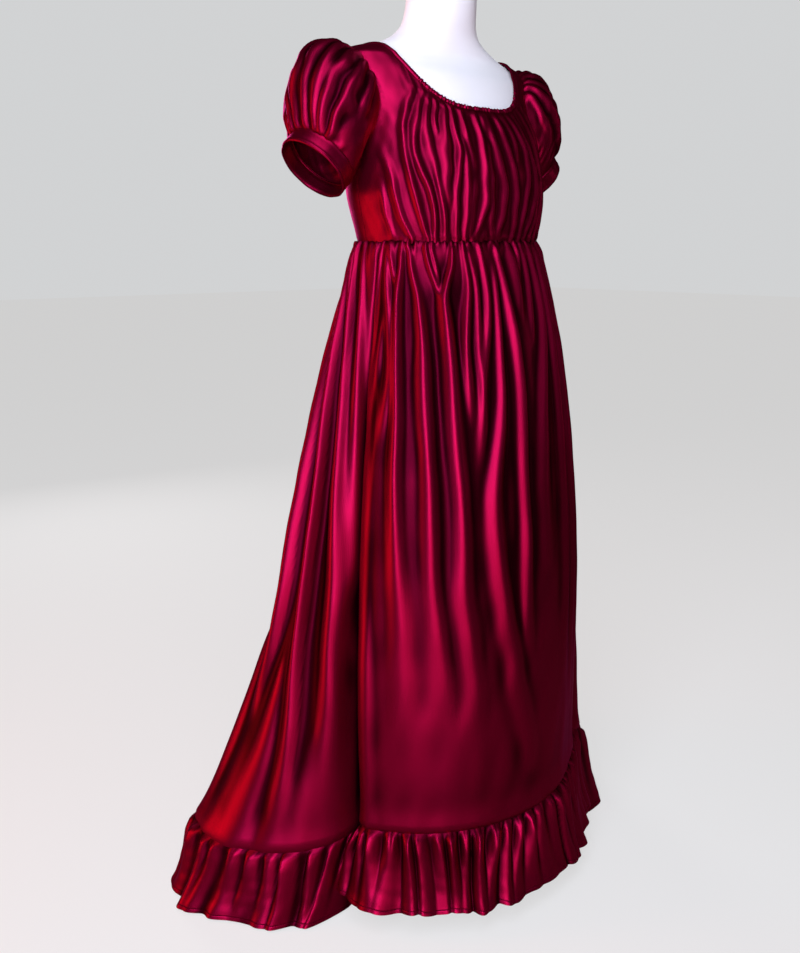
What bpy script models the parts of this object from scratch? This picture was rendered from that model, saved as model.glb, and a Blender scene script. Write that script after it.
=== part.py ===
"""A regency gown of satin on a limbless dress form, in metres, +Z up.

The gown faces -Y, the wearer's left is +X, and the train runs back to +Y. The origin is the centre
of the stand's underside, on the floor.
"""

import math

import bmesh
import bpy
from mathutils import Vector

# Walls and gaps
CLOTH = 0.0015
SKIRT_WALL = 0.0018
SEAM_GAP = 0.0003
SEAT_GAP = 0.0003
FORM_INSET = 0.0010
SHOULDER_INSET = 0.0034
SHOULDER_HEIGHT = 1.380
SHOULDER_REACH = 0.026

# Form and stand
FORM_SECTIONS = [
    # height, y of the centre, half width, depth in front of it, depth behind it
    (0.720, 0.005, 0.150, 0.105, 0.112),
    (0.800, 0.008, 0.166, 0.114, 0.122),
    (0.900, 0.005, 0.150, 0.110, 0.104),
    (1.000, 0.000, 0.130, 0.108, 0.082),
    (1.108, 0.000, 0.155, 0.130, 0.084),
    (1.190, 0.005, 0.170, 0.137, 0.100),
    (1.260, 0.014, 0.172, 0.130, 0.100),
    (1.315, 0.023, 0.177, 0.110, 0.096),
    (1.358, 0.027, 0.185, 0.088, 0.084),
    (1.379, 0.028, 0.185, 0.072, 0.073),
    (1.389, 0.028, 0.167, 0.064, 0.066),
    (1.399, 0.026, 0.132, 0.059, 0.062),
    (1.411, 0.023, 0.100, 0.056, 0.058),
    (1.424, 0.019, 0.077, 0.054, 0.055),
    (1.442, 0.013, 0.063, 0.053, 0.053),
    (1.470, 0.008, 0.058, 0.053, 0.053),
    (1.500, 0.006, 0.056, 0.053, 0.053),
]
FORM_SQUARENESS = 0.92
FORM_STEPS_AROUND = 40
FORM_STEPS_PER_SECTION = 2
NECK_CAP_HEIGHT = 0.012
NECK_CAP_OVERHANG = 0.001
NECK_CAP_SLOPE = 0.009
POLE_RADIUS = 0.016
POLE_SIDES = 24
COLLAR_RADIUS = 0.034
COLLAR_HEIGHT = 0.012
COLLAR_SLOPE = 0.012
BASE_RADIUS = 0.170
BASE_HEIGHT = 0.018
BASE_BEVEL = 0.008
BASE_SIDES = 48

# Bodice
UNDERBUST_HEIGHT = 1.108
UNDERBUST_EASE = 0.004
SEAM_ANGLE = 0.1
SIDE_BEND_FADE = 1.4
UPPER_BEND_FADE = 4.0
NECK_HALF_WIDTH = 0.138
NECK_FRONT_HEIGHT = 1.300
NECK_BACK_HEIGHT = 1.345
NECK_ROUNDNESS = 3.6
ARMHOLE_MIDDLE_Z = 1.313
ARMHOLE_HALF_DEPTH = 0.052
ARMHOLE_HALF_HEIGHT = 0.067
ARMHOLE_CHORD_ROOM = 0.0022
FRONT_BODICE_COLUMNS = 30
BACK_BODICE_COLUMNS = 22
SIDE_SEAM_ROWS = 4
ARMHOLE_ROWS = 7
SHOULDER_SEAM_COLUMNS = 2
FRONT_GATHERS = 11
FRONT_GATHER_DEPTH = 0.0026
FRONT_GATHER_REACH = 62.0
FRONT_GATHER_FADE = 20.0
EASE_TOP = 1.30

# Neck casing
CASING_WIDTH = 0.007
CASING_DEPTH = 0.003
CASING_STEPS = 56
CASING_ROOM = 0.0012
CASING_SEAT = -0.0004
CASING_PROFILE = [
    # share of the width, share of the depth
    (0.0, 0.0),
    (0.0, 0.8),
    (0.5, 1.0),
    (1.0, 0.7),
    (1.0, 0.0),
]

# Sleeves
CUFF_CENTRE = (0.227, 0.026, 1.228)
CUFF_SLANT = 45.0
CUFF_RADIUS = 0.053
CUFF_WIDTH = 0.022
CUFF_WALL = 0.002
CUFF_STEP = 0.0008
SLEEVE_COLUMNS = 24
SLEEVE_ROWS = 7
SLEEVE_GATHERS = 8
SLEEVE_GATHER_DEPTH = 0.003
ARMHOLE_MIDDLE_X = 0.186
UNDERARM_OUT = 0.050
UNDERARM_UP = 0.012
PUFF_OUT = 0.135
PUFF_UP = 0.128
UNDERARM_DOWN = 0.040
PUFF_DOWN = 0.020
UNDERARM_CLOSE = 0.010
PUFF_CLOSE = 0.130

# Skirt: each row is a line of the cloth from the underbust seam to the flounce seam. Angle 0 is the
# front, and the wearer's right is negative. The train spreads further to the wearer's right.
SKIRT_LINES = [
    # angle at the seam, angle at the foot, foot radius, foot height, swell, kick
    (-180.0, -180.0, 0.520, 0.112, 1.0, 0.26),
    (-171.0, -169.5, 0.508, 0.112, 1.0, 0.26),
    (-160.0, -157.0, 0.462, 0.112, 1.0, 0.26),
    (-140.0, -135.0, 0.398, 0.112, 1.0, 0.24),
    (-115.0, -112.0, 0.434, 0.116, 1.0, 0.24),
    (-97.0, -97.0, 0.372, 0.116, 1.1, 0.22),
    (-86.0, -86.0, 0.298, 0.124, 1.4, 0.15),
    (-79.0, -78.0, 0.226, 0.145, 2.0, 0.05),
    (-70.0, -69.0, 0.256, 0.165, 2.5, 0.00),
    (-54.0, -55.0, 0.252, 0.168, 2.6, 0.00),
    (-30.0, -30.0, 0.240, 0.170, 2.6, 0.00),
    (0.0, 0.0, 0.234, 0.174, 2.6, 0.00),
    (30.0, 30.0, 0.234, 0.184, 2.6, 0.00),
    (54.0, 47.0, 0.243, 0.196, 2.5, 0.00),
    (70.0, 58.0, 0.250, 0.200, 2.2, 0.02),
    (79.0, 64.0, 0.260, 0.192, 2.0, 0.05),
    (84.0, 69.0, 0.280, 0.182, 1.8, 0.09),
    (90.0, 76.0, 0.304, 0.168, 1.6, 0.13),
    (98.0, 87.0, 0.338, 0.148, 1.3, 0.19),
    (115.0, 105.0, 0.382, 0.120, 1.0, 0.24),
    (140.0, 132.0, 0.412, 0.112, 1.0, 0.24),
    (160.0, 156.0, 0.460, 0.112, 1.0, 0.26),
    (171.0, 169.0, 0.508, 0.112, 1.0, 0.26),
    (180.0, 180.0, 0.520, 0.112, 1.0, 0.26),
]
SIDE_SEAM_ANGLE = 79.0
SIDE_SEAM_GAP = 0.05
FRONT_SKIRT_COLUMNS = 34
BACK_SKIRT_COLUMNS = 36
SKIRT_ROWS = 8
KICK_POWER = 6

# Long folds of the skirt, each highest at FOLD_RISE of the way down
FOLD_RISE = 0.3
FRONT_FOLDS = [
    # angle, half width, upper height, lower height
    (-63.0, 7.0, 0.012, 0.004),
    (-46.0, 6.0, 0.008, 0.002),
    (-31.0, 6.5, 0.011, 0.003),
    (-17.0, 5.5, 0.008, 0.001),
    (-4.0, 6.0, 0.010, 0.002),
    (10.0, 6.5, 0.009, 0.001),
    (25.0, 6.0, 0.011, 0.003),
    (40.0, 6.5, 0.009, 0.002),
    (56.0, 7.0, 0.008, 0.003),
]
TRAIN_FOLDS = [
    # angle, half width, upper height, lower height
    (92.0, 6.0, 0.010, 0.014),
    (107.0, 7.0, 0.013, 0.020),
    (124.0, 7.0, 0.012, 0.022),
    (143.0, 8.0, 0.013, 0.024),
    (163.0, 8.0, 0.012, 0.022),
    (180.0, 8.0, 0.013, 0.024),
    (197.0, 8.0, 0.012, 0.022),
    (217.0, 8.0, 0.013, 0.024),
    (236.0, 7.0, 0.012, 0.022),
    (253.0, 7.0, 0.013, 0.020),
    (268.0, 6.0, 0.010, 0.014),
]

# Flounce
FLOUNCE_FRONT_HEM = 0.046
FLOUNCE_TRAIN_HEM = 0.002
FLOUNCE_FLARE_FRONT = 0.036
FLOUNCE_FLARE_TRAIN = 0.050
FLOUNCE_WAVE = 0.0105
FLOUNCE_ROWS = 3
FLOUNCE_SEAM_DROP = 0.0020
FRONT_FLOUNCE_WAVES = 14
BACK_FLOUNCE_WAVES = 21
STEPS_PER_WAVE = 4
WAVE_FADE = 4.0
WAVE_DRIFT = 0.6
WAVE_DRIFT_PACE = 0.37
SEAM_WAVE_SHARE = 0.25
STRAIGHT_FLARE_SHARE = 0.35

COLOURS = {
    "satin": ((0.30, 0.004, 0.035, 1.0), 0.32, 0.0),
    "form_cover": ((0.80, 0.81, 0.84, 1.0), 0.75, 0.0),
    "stand_metal": ((0.05, 0.05, 0.055, 1.0), 0.40, 0.6),
}


def clear_scene():
    for thing in list(bpy.data.objects):
        bpy.data.objects.remove(thing, do_unlink=True)


def smooth_value(rows, x, column):
    """Value of one column at x of the first column, by a cubic that never overshoots."""
    xs = [row[0] for row in rows]
    ys = [row[column] for row in rows]
    last = len(xs) - 1
    if x <= xs[0]:
        return ys[0]
    if x >= xs[last]:
        return ys[last]
    k = max(i for i in range(last) if xs[i] <= x)
    slopes = [(ys[i + 1] - ys[i]) / (xs[i + 1] - xs[i]) for i in range(last)]

    def tangent(i):
        if i == 0:
            return slopes[0]
        if i == last:
            return slopes[last - 1]
        if slopes[i - 1] * slopes[i] <= 0.0:
            return 0.0
        return 2.0 * slopes[i - 1] * slopes[i] / (slopes[i - 1] + slopes[i])

    step = xs[k + 1] - xs[k]
    t = (x - xs[k]) / step
    start = ys[k] * (1 + 2 * t) * (1 - t) ** 2 + step * tangent(k) * t * (1 - t) ** 2
    end = ys[k + 1] * t * t * (3 - 2 * t) + step * tangent(k + 1) * t * t * (t - 1)
    return start + end


def smoothstep(x):
    x = min(1.0, max(0.0, x))
    return x * x * (3.0 - 2.0 * x)


def signed_power(x, power):
    return math.copysign(abs(x) ** power, x)


def material(name):
    colour, roughness, metallic = COLOURS[name]
    made = bpy.data.materials.get(name) or bpy.data.materials.new(name)
    made.use_nodes = True
    shader = made.node_tree.nodes["Principled BSDF"]
    shader.inputs["Base Color"].default_value = colour
    shader.inputs["Roughness"].default_value = roughness
    shader.inputs["Metallic"].default_value = metallic
    made.diffuse_color = colour
    return made


def new_object(name, vertices, faces, finish):
    mesh = bpy.data.meshes.new(name)
    mesh.from_pydata([tuple(v) for v in vertices], [], faces)
    work = bmesh.new()
    work.from_mesh(mesh)
    bmesh.ops.triangulate(work, faces=work.faces[:])
    bmesh.ops.recalc_face_normals(work, faces=work.faces[:])
    work.to_mesh(mesh)
    work.free()
    mesh.shade_smooth()
    thing = bpy.data.objects.new(name, mesh)
    bpy.context.scene.collection.objects.link(thing)
    mesh.materials.append(material(finish))
    return thing


def grid_normals(grid):
    """Unit normals of a grid of points, rows along the cloth and columns round its ring."""
    rows, columns = len(grid), len(grid[0])
    normals = []
    for r in range(rows):
        line = []
        for c in range(columns):
            across = grid[r][(c + 1) % columns] - grid[r][c - 1]
            along = grid[min(r + 1, rows - 1)][c] - grid[max(r - 1, 0)][c]
            line.append(across.cross(along).normalized())
        normals.append(line)
    return normals


def moved_in(outer, thickness, flip):
    """A ring grid moved in by the wall's thickness."""
    side = -1.0 if flip else 1.0
    normals = grid_normals(outer)
    return [
        [p - n * thickness * side for p, n in zip(line, turned_in)]
        for line, turned_in in zip(outer, normals)
    ]


def cloth_wall(name, outer, inner, round_the_ring=False):
    """A closed wall between an outer and an inner grid of points, with their rims."""
    rows, columns = len(outer), len(outer[0])
    vertices = [p for line in outer for p in line] + [p for line in inner for p in line]
    half = rows * columns
    spans = columns if round_the_ring else columns - 1
    faces = []
    for c in range(spans):
        d = (c + 1) % columns
        for r in range(rows - 1):
            a, b = r * columns + c, r * columns + d
            e, f = (r + 1) * columns + d, (r + 1) * columns + c
            faces.append((a, b, e, f))
            faces.append((half + f, half + e, half + b, half + a))
        for r in (0, rows - 1):
            a, b = r * columns + c, r * columns + d
            faces.append((a, b, half + b, half + a))
    if not round_the_ring:
        for c in (0, columns - 1):
            for r in range(rows - 1):
                a, b = r * columns + c, (r + 1) * columns + c
                faces.append((a, b, half + b, half + a))
    return new_object(name, vertices, faces, "satin")


def body_point(angle, height, out=0.0):
    """A point of the form's surface, or a point that far outside it. Angle 0 is the front."""

    def place(a, h):
        centre, width, front, back = (smooth_value(FORM_SECTIONS, h, i) for i in (1, 2, 3, 4))
        s, c = math.sin(math.radians(a)), math.cos(math.radians(a))
        depth = front if c > 0 else back
        x = width * signed_power(s, FORM_SQUARENESS)
        return Vector((x, centre - depth * signed_power(c, FORM_SQUARENESS), h))

    here = place(angle, height)
    if out == 0.0:
        return here
    across = place(angle + 0.5, height) - place(angle - 0.5, height)
    up = place(angle, height + 0.001) - place(angle, height - 0.001)
    return here + across.cross(up).normalized() * out


def height_of_half_width(width):
    """Height on the shoulder slope where the form is that wide on each side."""
    low, high = SHOULDER_HEIGHT, FORM_SECTIONS[-1][0]
    for _ in range(40):
        middle = (low + high) / 2
        if smooth_value(FORM_SECTIONS, middle, 2) > width:
            low = middle
        else:
            high = middle
    return low


def angle_of_x(x, height):
    share = min(1.0, abs(x) / smooth_value(FORM_SECTIONS, height, 2))
    return math.degrees(math.asin(share ** (1.0 / FORM_SQUARENESS)))


def angle_of_y(y, height):
    centre, front, back = (smooth_value(FORM_SECTIONS, height, i) for i in (1, 3, 4))
    rise = centre - y
    share = min(1.0, abs(rise) / (front if rise > 0 else back))
    turn = math.degrees(math.asin(share ** (1.0 / FORM_SQUARENESS)))
    return 90.0 - turn if rise > 0 else 90.0 + turn


def neckline(part, behind, grow=0.0):
    """Angle and height on the neckline: part 0 is the shoulder, 1 the centre of the front or back."""
    lowest = (NECK_BACK_HEIGHT if behind else NECK_FRONT_HEIGHT) - grow
    width = NECK_HALF_WIDTH + grow
    x = width * math.cos(part * math.pi / 2)
    height = lowest + (height_of_half_width(width) - lowest) * (x / width) ** NECK_ROUNDNESS
    angle = 90.0 if part <= 0.0 else angle_of_x(x, height)
    return (180.0 - angle if behind else angle), height


def armhole(turn, grow=0.0):
    """Angle and height on the armhole: turn 0 is its foot, 90 its front, 180 the shoulder."""
    z = ARMHOLE_MIDDLE_Z - (ARMHOLE_HALF_HEIGHT + grow) * math.cos(math.radians(turn))
    centre = smooth_value(FORM_SECTIONS, z, 1)
    y = centre - (ARMHOLE_HALF_DEPTH + grow) * math.sin(math.radians(turn))
    return angle_of_y(y, z), z


def side_edge(row, behind):
    """Angle and height on a bodice panel's side: the side seam, then the armhole to the shoulder."""
    low = UNDERBUST_HEIGHT + SEAM_GAP
    foot = armhole(0.0)[1]
    if row <= SIDE_SEAM_ROWS:
        return 90.0, low + (foot - low) * row / SIDE_SEAM_ROWS
    turn = 180.0 * (row - SIDE_SEAM_ROWS) / ARMHOLE_ROWS
    return armhole(-turn if behind else turn)


def upper_edge(column, half, behind):
    """Angle and height on a panel's upper edge: the shoulder seam, then the neckline to its centre."""
    tip = armhole(180.0)[1]
    neck = height_of_half_width(NECK_HALF_WIDTH + CASING_ROOM)
    if column <= SHOULDER_SEAM_COLUMNS:
        return 90.0, tip + (neck - tip) * column / SHOULDER_SEAM_COLUMNS
    part = (column - SHOULDER_SEAM_COLUMNS) / (half - SHOULDER_SEAM_COLUMNS)
    return neckline(part, behind, CASING_ROOM)


def panel_place(row, column, half, behind):
    """Angle and height inside a panel, between its four edges. Column 0 is the side.

    The bottom and the centre line are straight, so only the side and the upper edge bend the grid.
    """
    middle = 180.0 if behind else 0.0
    low = UNDERBUST_HEIGHT + SEAM_GAP
    rows = SIDE_SEAM_ROWS + ARMHOLE_ROWS
    u, v = column / half, row / rows
    left, top = side_edge(row, behind), upper_edge(column, half, behind)
    tip, centre = side_edge(rows, behind), upper_edge(half, half, behind)
    side_bend, upper_bend = (1 - u) ** SIDE_BEND_FADE, v**UPPER_BEND_FADE
    place = []
    for i, foot_side, foot_middle in ((0, 90.0, middle), (1, low, low)):
        straight_left = foot_side + (tip[i] - foot_side) * v
        straight_right = foot_middle + (centre[i] - foot_middle) * v
        straight_top = tip[i] + (centre[i] - tip[i]) * u
        flat = straight_left + (straight_right - straight_left) * u
        bend = side_bend * (left[i] - straight_left) + upper_bend * (top[i] - straight_top)
        place.append(flat + bend)
    return place


def bodice_ease(angle, height):
    """How far the bodice stands off the form: snug at the shoulders, easier under the bust."""
    low = smoothstep((EASE_TOP - height) / (EASE_TOP - UNDERBUST_HEIGHT))
    return SEAT_GAP + CLOTH + UNDERBUST_EASE * low


def bodice_panel(name, behind):
    half = (BACK_BODICE_COLUMNS if behind else FRONT_BODICE_COLUMNS) // 2
    outer, inner = [], []
    for r in range(SIDE_SEAM_ROWS + ARMHOLE_ROWS + 1):
        outer.append([])
        inner.append([])
        for c in range(-half, half + 1):
            angle, height = panel_place(r, half - abs(c), half, behind)
            angle = max(angle, 90.0 + SEAM_ANGLE) if behind else min(angle, 90.0 - SEAM_ANGLE)
            out = bodice_ease(angle, height)
            if not behind:
                reach = smoothstep((FRONT_GATHER_REACH - angle) / FRONT_GATHER_FADE)
                phase = angle / FRONT_GATHER_REACH * FRONT_GATHERS * math.pi
                out += FRONT_GATHER_DEPTH * reach * (1.0 - math.cos(phase)) / 2.0
            turn = math.copysign(angle, c)
            outer[-1].append(body_point(turn, height, out))
            inner[-1].append(body_point(turn, height, out - CLOTH))
    return cloth_wall(name, outer, inner)


def neck_casing():
    """A narrow band along the whole neckline, its lower edge on the upper edge of the bodice."""
    quarter = CASING_STEPS // 4
    loop = []
    for i in range(CASING_STEPS):
        which, step = divmod(i, quarter)
        part = step / quarter
        if which == 0:
            angle, height = neckline(1.0 - part, False)
        elif which == 1:
            angle, height = neckline(part, True)
        elif which == 2:
            angle, height = neckline(1.0 - part, True)
            angle = -angle
        else:
            angle, height = neckline(part, False)
            angle = -angle
        inner = body_point(angle, height, CASING_SEAT)
        outward = (body_point(angle, height, CLOTH) - inner).normalized()
        loop.append((inner, outward))
    vertices, faces = [], []
    for i, (inner, outward) in enumerate(loop):
        run = (loop[(i + 1) % CASING_STEPS][0] - loop[i - 1][0]).normalized()
        rise = outward.cross(run).normalized()
        if rise.z < 0:
            rise.negate()
        foot = inner + rise * SEAM_GAP
        for up, out in CASING_PROFILE:
            vertices.append(foot + rise * CASING_WIDTH * up + outward * CASING_DEPTH * out)
    sides = len(CASING_PROFILE)
    for i in range(CASING_STEPS):
        j = (i + 1) % CASING_STEPS
        for k in range(sides):
            m = (k + 1) % sides
            faces.append((i * sides + k, i * sides + m, j * sides + m, j * sides + k))
    return new_object("neck_casing", vertices, faces, "satin")


def cuff_frame(side):
    """Centre of the cuff's upper edge, the way down the sleeve, and two directions across it."""
    slant = math.radians(CUFF_SLANT)
    centre = Vector((side * CUFF_CENTRE[0], CUFF_CENTRE[1], CUFF_CENTRE[2]))
    down = Vector((side * math.sin(slant), 0.0, -math.cos(slant)))
    top = Vector((side * math.cos(slant), 0.0, math.sin(slant)))
    return centre, down, top, Vector((0.0, -1.0, 0.0))


def sleeve(name, side):
    """A puff from the armhole to the cuff, fullest over the shoulder and plain under the arm."""
    centre, down, top, forward = cuff_frame(side)
    middle = Vector((side * ARMHOLE_MIDDLE_X, CUFF_CENTRE[1], ARMHOLE_MIDDLE_Z))
    grid, rays = [], []
    for r in range(SLEEVE_ROWS + 1):
        t = r / SLEEVE_ROWS
        line = []
        for c in range(SLEEVE_COLUMNS):
            turn = 360.0 * c / SLEEVE_COLUMNS
            full = (1.0 - math.cos(math.radians(turn))) / 2.0
            angle, height = armhole(turn, -ARMHOLE_CHORD_ROOM - SEAM_GAP)
            start = body_point(side * angle, height, SEAT_GAP + CLOTH)
            across = (start - middle)
            across.x = 0.0
            across.normalize()
            turn_cuff = math.radians(turn)
            spoke = -top * math.cos(turn_cuff) + forward * math.sin(turn_cuff)
            end = centre + spoke * CUFF_RADIUS
            leave = Vector((side, 0.0, 0.0)) * (UNDERARM_OUT + PUFF_OUT * full)
            leave += across * (UNDERARM_UP + PUFF_UP * full)
            arrive = down * (UNDERARM_DOWN + PUFF_DOWN * full)
            arrive -= spoke * (UNDERARM_CLOSE + PUFF_CLOSE * full)
            h = (
                start * (1 + 2 * t) * (1 - t) ** 2
                + leave * t * (1 - t) ** 2
                + end * t * t * (3 - 2 * t)
                - arrive * t * t * (1 - t)
            )
            swell = math.sin(math.pi * t)
            wave = math.cos(math.radians(turn) * SLEEVE_GATHERS)
            h += (across + spoke).normalized() * SLEEVE_GATHER_DEPTH * wave * swell * full
            line.append(h)
            if r == 0:
                rays.append((across, spoke))
        grid.append(line)
    inner = moved_in(grid, CLOTH, side < 0)
    inner[0] = [p - ray[0] * CLOTH for p, ray in zip(grid[0], rays)]
    inner[-1] = [p - ray[1] * CLOTH for p, ray in zip(grid[-1], rays)]
    return cloth_wall(name, grid, inner, round_the_ring=True)


def cuff(name, side):
    centre, down, top, forward = cuff_frame(side)
    grid = []
    for distance in (SEAM_GAP, SEAM_GAP + CUFF_WIDTH):
        line = []
        for c in range(SLEEVE_COLUMNS):
            turn = math.radians(360.0 * c / SLEEVE_COLUMNS)
            spoke = -top * math.cos(turn) + forward * math.sin(turn)
            line.append(centre + down * distance + spoke * (CUFF_RADIUS + CUFF_STEP))
        grid.append(line)
    return cloth_wall(name, grid, moved_in(grid, CUFF_WALL, side < 0), round_the_ring=True)


def skirt_point(angle, t):
    """A point of the plain skirt: angle at the seam, 0 in front, and t from the seam to the foot."""
    turn = (angle + 180.0) % 360.0 - 180.0
    foot_angle, radius, foot_height, swell, kick = (
        smooth_value(SKIRT_LINES, turn, i) for i in (1, 2, 3, 4, 5)
    )
    top = body_point(turn, UNDERBUST_HEIGHT, bodice_ease(turn, UNDERBUST_HEIGHT))
    foot = Vector((
        radius * math.sin(math.radians(foot_angle)),
        -radius * math.cos(math.radians(foot_angle)),
        foot_height,
    ))
    spread = (1.0 - kick) * (1.0 - (1.0 - t) ** swell) + kick * t**KICK_POWER
    place = top.lerp(foot, spread)
    place.z = top.z - SEAM_GAP + (foot.z - top.z + SEAM_GAP) * t
    return place


def fold_height(folds, angle, t):
    total = 0.0
    for middle, half_width, upper, lower in folds:
        away = abs(angle - middle) / half_width
        if away < 1.0:
            risen = smoothstep(t / FOLD_RISE)
            sunk = smoothstep((t - FOLD_RISE) / (1.0 - FOLD_RISE))
            size = upper * risen + (lower - upper) * sunk
            total += size * (1.0 + math.cos(math.pi * away)) / 2.0
    return total


def skirt_outward(angle, t):
    across = skirt_point(angle + 0.5, t) - skirt_point(angle - 0.5, t)
    return Vector((across.y, -across.x, 0.0)).normalized()


def skirt_surface(angle, t, folds, inward=0.0):
    out = fold_height(folds, angle, t) - inward
    return skirt_point(angle, t) + skirt_outward(angle, t) * out


def skirt_panel(name, first, last, columns, folds):
    angles = [first + (last - first) * c / columns for c in range(columns + 1)]
    shares = [r / SKIRT_ROWS for r in range(SKIRT_ROWS + 1)]
    outer = [[skirt_surface(a, t, folds) for a in angles] for t in shares]
    inner = [[skirt_surface(a, t, folds, SKIRT_WALL) for a in angles] for t in shares]
    return cloth_wall(name, outer, inner)


def flounce_point(angle, v, folds, waves, first, last, hem, flare, inward=0.0):
    """A point of the flounce: v 0 is its seam and 1 its hem."""
    foot = skirt_surface(angle, 1.0, folds)
    out = Vector((foot.x, foot.y, 0.0)).normalized()
    foot -= out * inward
    phase = (angle - first) / (last - first) * waves * 2.0 * math.pi
    ends = smoothstep(min(angle - first, last - angle) / WAVE_FADE)
    wave = math.sin(phase + WAVE_DRIFT * math.sin(phase * WAVE_DRIFT_PACE)) * ends
    wave *= FLOUNCE_WAVE * (SEAM_WAVE_SHARE + (1.0 - SEAM_WAVE_SHARE) * v)
    spread = STRAIGHT_FLARE_SHARE * v + (1.0 - STRAIGHT_FLARE_SHARE) * v * v
    place = foot + out * (flare * spread + wave)
    top = foot.z - FLOUNCE_SEAM_DROP
    place.z = top + (hem - top) * v
    return place


def flounce(name, first, last, waves, folds, hem, flare):
    columns = waves * STEPS_PER_WAVE
    angles = [first + (last - first) * c / columns for c in range(columns + 1)]
    shares = [r / FLOUNCE_ROWS for r in range(FLOUNCE_ROWS + 1)]
    span = (folds, waves, first, last, hem, flare)
    outer = [[flounce_point(a, v, *span) for a in angles] for v in shares]
    inner = [[flounce_point(a, v, *span, inward=SKIRT_WALL) for a in angles] for v in shares]
    return cloth_wall(name, outer, inner)


def ring_stack(name, rings, finish):
    """A closed solid through rings of points, with a flat face at each end."""
    count = len(rings[0])
    vertices = [p for ring in rings for p in ring]
    faces = []
    for r in range(len(rings) - 1):
        for c in range(count):
            d = (c + 1) % count
            faces.append((r * count + c, r * count + d, (r + 1) * count + d, (r + 1) * count + c))
    faces.append(tuple(range(count)))
    faces.append(tuple((len(rings) - 1) * count + c for c in range(count)))
    return new_object(name, vertices, faces, finish)


def form_torso():
    heights = []
    for low, high in zip(FORM_SECTIONS, FORM_SECTIONS[1:]):
        for k in range(FORM_STEPS_PER_SECTION):
            heights.append(low[0] + (high[0] - low[0]) * k / FORM_STEPS_PER_SECTION)
    heights.append(FORM_SECTIONS[-1][0])
    turns = [360.0 * c / FORM_STEPS_AROUND for c in range(FORM_STEPS_AROUND)]
    rings = []
    for h in heights:
        near_tip = smoothstep(1.0 - abs(h - SHOULDER_HEIGHT) / SHOULDER_REACH)
        inset = FORM_INSET + SHOULDER_INSET * near_tip
        rings.append([body_point(turn, h, -inset) for turn in turns])
    return ring_stack("form_torso", rings, "form_cover")


def turned(name, profile, sides, finish, centre=(0.0, 0.0)):
    """A turned solid: profile is a list of radius and height, from bottom to top."""
    rings = []
    for radius, height in profile:
        ring = []
        for c in range(sides):
            a = 2.0 * math.pi * c / sides
            ring.append(Vector((
                centre[0] + radius * math.cos(a), centre[1] + radius * math.sin(a), height,
            )))
        rings.append(ring)
    return ring_stack(name, rings, finish)


def neck_cap():
    top = FORM_SECTIONS[-1]
    low = top[0] + SEAT_GAP
    radius = top[3] + NECK_CAP_OVERHANG
    profile = [
        (radius, low),
        (radius, low + NECK_CAP_HEIGHT / 2),
        (radius - NECK_CAP_SLOPE, low + NECK_CAP_HEIGHT),
    ]
    return turned("form_neck_cap", profile, FORM_STEPS_AROUND, "form_cover", (0.0, top[1]))


def stand():
    bottom = FORM_SECTIONS[0][0]
    turned("stand_base", [
        (BASE_RADIUS, 0.0),
        (BASE_RADIUS, BASE_HEIGHT - BASE_BEVEL),
        (BASE_RADIUS - BASE_BEVEL, BASE_HEIGHT),
    ], BASE_SIDES, "stand_metal")
    turned("stand_pole", [
        (COLLAR_RADIUS, BASE_HEIGHT + SEAT_GAP),
        (COLLAR_RADIUS, BASE_HEIGHT + COLLAR_HEIGHT),
        (POLE_RADIUS, BASE_HEIGHT + COLLAR_HEIGHT + COLLAR_SLOPE),
        (POLE_RADIUS, bottom - COLLAR_HEIGHT - COLLAR_SLOPE),
        (COLLAR_RADIUS, bottom - COLLAR_HEIGHT),
        (COLLAR_RADIUS, bottom - SEAT_GAP),
    ], POLE_SIDES, "stand_metal")


def build():
    clear_scene()
    form_torso()
    neck_cap()
    stand()
    bodice_panel("bodice_front", behind=False)
    bodice_panel("bodice_back", behind=True)
    neck_casing()
    for side, hand in ((1, "left"), (-1, "right")):
        sleeve("sleeve_" + hand, side)
        cuff("cuff_" + hand, side)
    first, last = -SIDE_SEAM_ANGLE + SIDE_SEAM_GAP, SIDE_SEAM_ANGLE - SIDE_SEAM_GAP
    back_first, back_last = SIDE_SEAM_ANGLE + SIDE_SEAM_GAP, 360.0 - SIDE_SEAM_ANGLE - SIDE_SEAM_GAP
    skirt_panel("skirt_front", first, last, FRONT_SKIRT_COLUMNS, FRONT_FOLDS)
    skirt_panel("skirt_back", back_first, back_last, BACK_SKIRT_COLUMNS, TRAIN_FOLDS)
    front_hem = (FLOUNCE_FRONT_HEM, FLOUNCE_FLARE_FRONT)
    train_hem = (FLOUNCE_TRAIN_HEM, FLOUNCE_FLARE_TRAIN)
    flounce("flounce_front", first, last, FRONT_FLOUNCE_WAVES, FRONT_FOLDS, *front_hem)
    flounce("flounce_back", back_first, back_last, BACK_FLOUNCE_WAVES, TRAIN_FOLDS, *train_hem)


build()
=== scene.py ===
import math

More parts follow.
